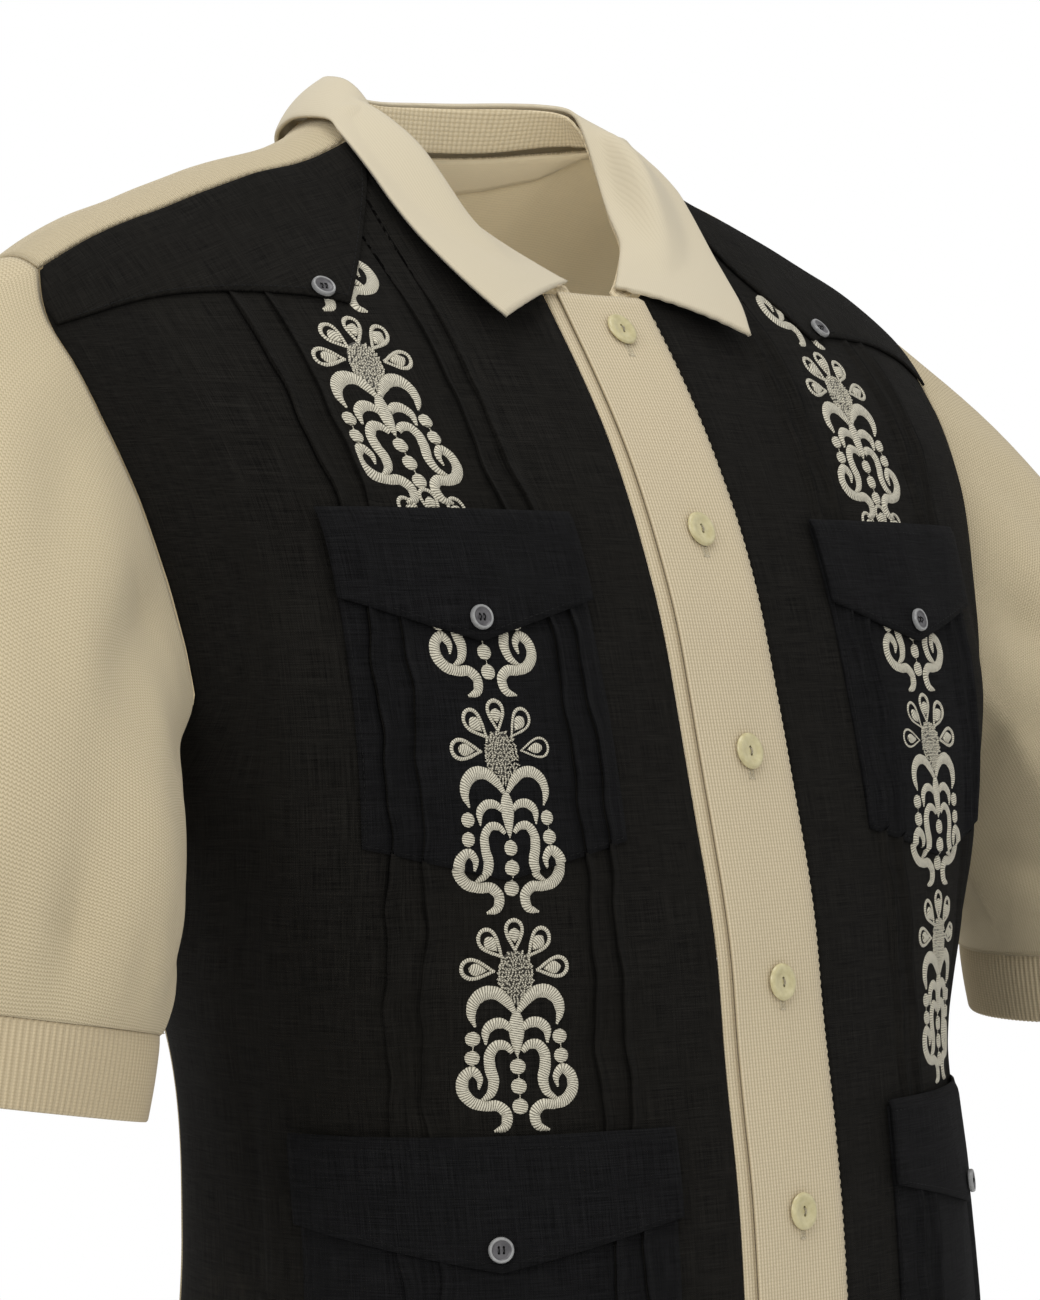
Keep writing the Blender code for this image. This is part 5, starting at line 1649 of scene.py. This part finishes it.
def seam_stitches(name, sign):
    """Black topstitching round the pockets and flaps of one front."""
    sheets = []
    for inner, outer, head, corner, point in (CHEST_POCKET, LOWER_POCKET):
        middle = (inner + outer) / 2
        on_pocket = lambda g, h, off: front_cloth(g, h, 2 * LINEN + LAYER - 0.15 + off, sign)
        path = ((inner + 1.8, head - 1.0), (inner + 1.8, corner + 1.2), (middle, point + 2.2),
                (outer - 1.8, corner + 1.2), (outer - 1.8, head - 1.0))
        sheets += stitch_sheets(straight(path), on_pocket)
        head = head + FLAP_RISE
        low = head - FLAP_DEPTH
        on_flap = lambda g, h, off: front_cloth(g, h, FLAP_LIFT + LINEN - 0.15 + off, sign)
        path = ((inner + 1.0, head - 6.0), (inner + 1.0, low + 1.4), (middle, low - FLAP_POINT + 2.8),
                (outer - 1.0, low + 1.4), (outer - 1.0, head - 6.0))
        sheets += stitch_sheets(straight(path), on_flap)
        path = ((inner, head - 5.0), (outer, head - 5.0))
        sheets += stitch_sheets(straight(path), on_flap)
    cloth("black_stitches_" + name, sheets, BLACK_THREAD)


def straight(path):
    points = []
    for a, b in zip(path, path[1:]):
        count = max(2, int(np.hypot(b[0] - a[0], b[1] - a[1]) / 1.0))
        for k in range(count):
            points.append((a[0] + (b[0] - a[0]) * k / count, a[1] + (b[1] - a[1]) * k / count))
    points.append(path[-1])
    return np.array(points)


def buttonhole_sheets(level):
    """Overcast buttonhole in the band, upright, its stitches crossing the slit."""
    on_band = lambda g, h, off: body_point(g, h, True, BAND_LIFT + KNIT + off)
    sheets = []
    for side in (-1.0, 1.0):
        path = np.stack((np.full(12, side * 0.75), level + np.linspace(-11.0, 5.0, 12)), axis=-1)
        sheets.append(strip_sheet(path, np.full(12, 1.3), np.full(12, 0.45), on_band, 3))
    for end in (-11.0, 5.0):
        path = np.stack((np.linspace(-1.3, 1.3, 5), np.full(5, level + end)), axis=-1)
        sheets.append(strip_sheet(path, np.full(5, 1.2), np.full(5, 0.5), on_band, 3))
    return sheets


def cream_seams():
    """Cream stitch lines at the hem of the back and along the band's edges."""
    sheets = []
    on_band = lambda g, h, off: body_point(g, h, True, BAND_LIFT + KNIT - 0.1 + off)
    for girth in (-26.4, 26.0):
        sheets += stitch_sheets(straight(((girth, HEM + 3.0), (girth, -80.0))), on_band, 2.6, 1.0, 0.4, 0.25)
    on_back = lambda g, h, off: body_point(g, h, False, KNIT - 0.1 + off)
    for rise in (16.0, 18.4):
        path = straight(((-150.0, HEM + rise), (150.0, HEM + rise)))
        sheets += stitch_sheets(path, on_back, 2.6, 1.0, 0.4, 0.25)
    cloth("cream_stitches", sheets, CREAM_THREAD)


def hem_stitches(name, sign):
    on_front = lambda g, h, off: front_cloth(g, h, LINEN - 0.1 + off, sign)
    sheets = stitch_sheets(straight(((38.0, HEM + 20.0), (236.0, HEM + 20.0))), on_front)
    cloth("hem_stitches_" + name, sheets, BLACK_THREAD)


def yoke_stitches(name, sign):
    """Row of stitches inside the yoke's slanted front edge and its lower edge."""
    on_yoke = lambda c, t, off: yoke_point(c, t, YOKE_LIFT + LINEN - 0.1 + off, sign)[0]
    sheets = []
    for path in (np.stack((np.full(40, 0.015), np.linspace(0.03, 0.97, 40)), axis=-1),
                 np.stack((np.linspace(0.015, 0.95, 56), np.full(56, 0.973)), axis=-1)):
        low = on_yoke(path[:, 0], path[:, 1], 0.0)
        run = run_along(low)
        for k in range(int(run[-1] / 3.1)):
            s = k * 3.1 + np.array((0.2, 1.2, 2.2))
            places = np.stack((np.interp(s, run, path[:, 0]), np.interp(s, run, path[:, 1])), axis=-1)
            centre = on_yoke(places[:, 0], places[:, 1], 0.0)
            up = unit(on_yoke(places[:, 0], places[:, 1], 1.0) - centre)
            side = unit(np.cross(up, np.gradient(centre, axis=0)))
            share = np.array((-1.0, 0.0, 1.0))
            rise = np.array((0.05, 0.35, 0.05))
            top = (centre[:, None] + side[:, None] * (share * 0.23)[None, :, None]
                   + up[:, None] * ((1 - share ** 2)[None] * rise[:, None])[..., None])
            pattern = paired(s[:, None], share[None] * 0.23)
            sheets.append((top, pattern, np.broadcast_to(up[:, None], top.shape)))
    cloth("yoke_stitches_" + name, sheets, BLACK_THREAD)


def build_band_buttons():
    body = drilled_button(PALE_PROFILE, BAND_BUTTON, TWO_HOLES)
    threads = (((0.0, -1.55), (0.0, 1.55)), ((0.25, -1.5), (0.25, 1.5)))
    holes = []
    for number, level in enumerate(BAND_BUTTONS):
        spot = lambda off: body_point(0.0, level, True, BAND_LIFT + KNIT + 0.35 + off)
        centre, normal = surface_frame(spot)
        place_button("band_button_%d" % (number + 1), "button_band_%d" % (number + 1), body, centre, normal,
                     PALE_BUTTON, threads, CREAM_THREAD, 1.75)
        holes += buttonhole_sheets(level)
    cloth("buttonholes", holes, CREAM_THREAD)


def build_small_buttons(flaps):
    body = drilled_button(DARK_PROFILE, SMALL_BUTTON, FOUR_HOLES)
    threads = (((-1.0, -1.15), (-1.0, 1.15)), ((1.0, -1.15), (1.0, 1.15)))
    for name, sign in (("left", 1), ("right", -1)):
        across, level = YOKE_BUTTON
        roll = roll_at(across, level, True)
        spot = lambda off: roll_point(across * sign, roll, YOKE_LIFT + LINEN + 0.35 + off)
        centre, normal = surface_frame(spot)
        place_button("yoke_button_" + name, "button_yoke_" + name, body, centre, normal, DARK_BUTTON,
                     threads, BLACK_THREAD, 1.9, DARK_RIM, SMALL_BUTTON * 0.4)
        for part in ("chest", "lower"):
            middle, level, lift = flaps[part, name]
            spot = lambda off: front_cloth(middle, level, lift + 0.45 + off, sign)
            centre, normal = surface_frame(spot)
            place_button("%s_button_%s" % (part, name), "button_%s_%s" % (part, name), body, centre, normal,
                         DARK_BUTTON, threads, BLACK_THREAD, 1.9, DARK_RIM,
                         SMALL_BUTTON * 0.4)


# Column names for cut sizes of the cloths, in metres; no sizes are listed
CUT_COLUMNS = ("piece", "width", "length", "area", "held")


# Studio

def floor_material():
    material, tree, shader = new_material("pale floor", 0.9)
    cloud = noise(tree, object_place(tree, 2.0), 1.0, 2.0)
    tone = blend_colour(tree, cloud, (0.90, 0.90, 0.90, 1.0), (0.94, 0.94, 0.94, 1.0))
    tree.links.new(tone, shader.inputs["Base Color"])
    return material


FLOOR_RADIUS = 1.0
FLOOR_GAP = 0.012


def build_floor():
    bm = bmesh.new()
    bmesh.ops.create_circle(bm, cap_ends=True, segments=96, radius=FLOOR_RADIUS)
    bmesh.ops.translate(bm, verts=bm.verts, vec=(0.0, 0.0, HEM * MM - FLOOR_GAP))
    mesh = bpy.data.meshes.new("studio_floor")
    bm.to_mesh(mesh)
    bm.free()
    mesh.materials.append(floor_material())
    floor = bpy.data.objects.new("studio_floor", mesh)
    bpy.context.scene.collection.objects.link(floor)


def aimed(name, data, place, target):
    thing = bpy.data.objects.new(name, data)
    bpy.context.scene.collection.objects.link(thing)
    thing.location = place
    thing.rotation_euler = (Vector(target) - Vector(place)).to_track_quat("-Z", "Y").to_euler()
    return thing


LIGHT_COLUMNS = ("name", "place", "power", "size")
LIGHTS = (
    ("key light", (-2.3, -0.7, 0.9), 24.0, 1.5),
    ("front light", (-0.5, -2.4, 0.4), 8.0, 1.8),
    ("side light", (1.7, -1.7, 0.4), 5.0, 1.8),
    ("top light", (-0.25, -0.45, 1.9), 17.0, 1.4),
    ("back light", (0.6, 1.9, 0.7), 10.0, 1.8),
)
INSIDE_LIGHT = ((0.0, -0.035, -0.24), 0.55, 0.05)


def build_studio():
    scene = bpy.context.scene
    build_floor()
    for name, place, power, size in LIGHTS:
        lamp = bpy.data.lights.new(name, "AREA")
        lamp.energy = power
        lamp.size = size
        aimed(name, lamp, place, (0.0, 0.0, -0.3))
    place, power, size = INSIDE_LIGHT
    lamp = bpy.data.lights.new("inside light", "POINT")
    lamp.energy = power
    lamp.shadow_soft_size = size
    aimed("inside light", lamp, place, (0.0, 0.05, 0.0))
    world = bpy.data.worlds.new("studio")
    world.use_nodes = True
    tree = world.node_tree
    ground = tree.nodes["Background"]
    ground.inputs["Color"].default_value = (1.0, 1.0, 1.0, 1.0)
    path = tree.nodes.new("ShaderNodeLightPath")
    power = tree.nodes.new("ShaderNodeMapRange")
    power.inputs["To Min"].default_value = 0.50
    power.inputs["To Max"].default_value = 1.0
    tree.links.new(path.outputs["Is Camera Ray"], power.inputs["Value"])
    tree.links.new(power.outputs["Result"], ground.inputs["Strength"])
    scene.world = world
    scene.view_settings.view_transform = "Standard"
    data = bpy.data.cameras.new("camera")
    data.sensor_fit = "AUTO"
    data.sensor_width = 36.0
    data.lens = 4060.0 / 1300.0 * 36.0
    data.shift_y = -0.0046
    data.clip_end = 20.0
    camera = bpy.data.objects.new("camera", data)
    scene.collection.objects.link(camera)
    camera.location = (-1.2697, -1.3027, -0.222)
    camera.rotation_euler = (pi / 2, 0.0, -pi / 4)
    scene.camera = camera


def build_shirt():
    made = build_body()
    build_neck_tape(made["back"][0])
    build_bands()
    build_collar()
    flaps = {}
    for name, sign in (("left", 1), ("right", -1)):
        build_yoke(name, sign)
        build_sleeve(name, sign, made[name], made["back"])
        for part, pocket in (("chest", CHEST_POCKET), ("lower", LOWER_POCKET)):
            build_pocket("%s_%s" % (part, name), sign, pocket)
            flaps[part, name] = build_flap("%s_%s" % (part, name), sign, pocket)
        build_embroidery(name, sign)
        seam_stitches(name, sign)
        hem_stitches(name, sign)
        yoke_stitches(name, sign)
    cream_seams()
    build_small_buttons(flaps)
    build_band_buttons()


build_shirt()
build_studio()
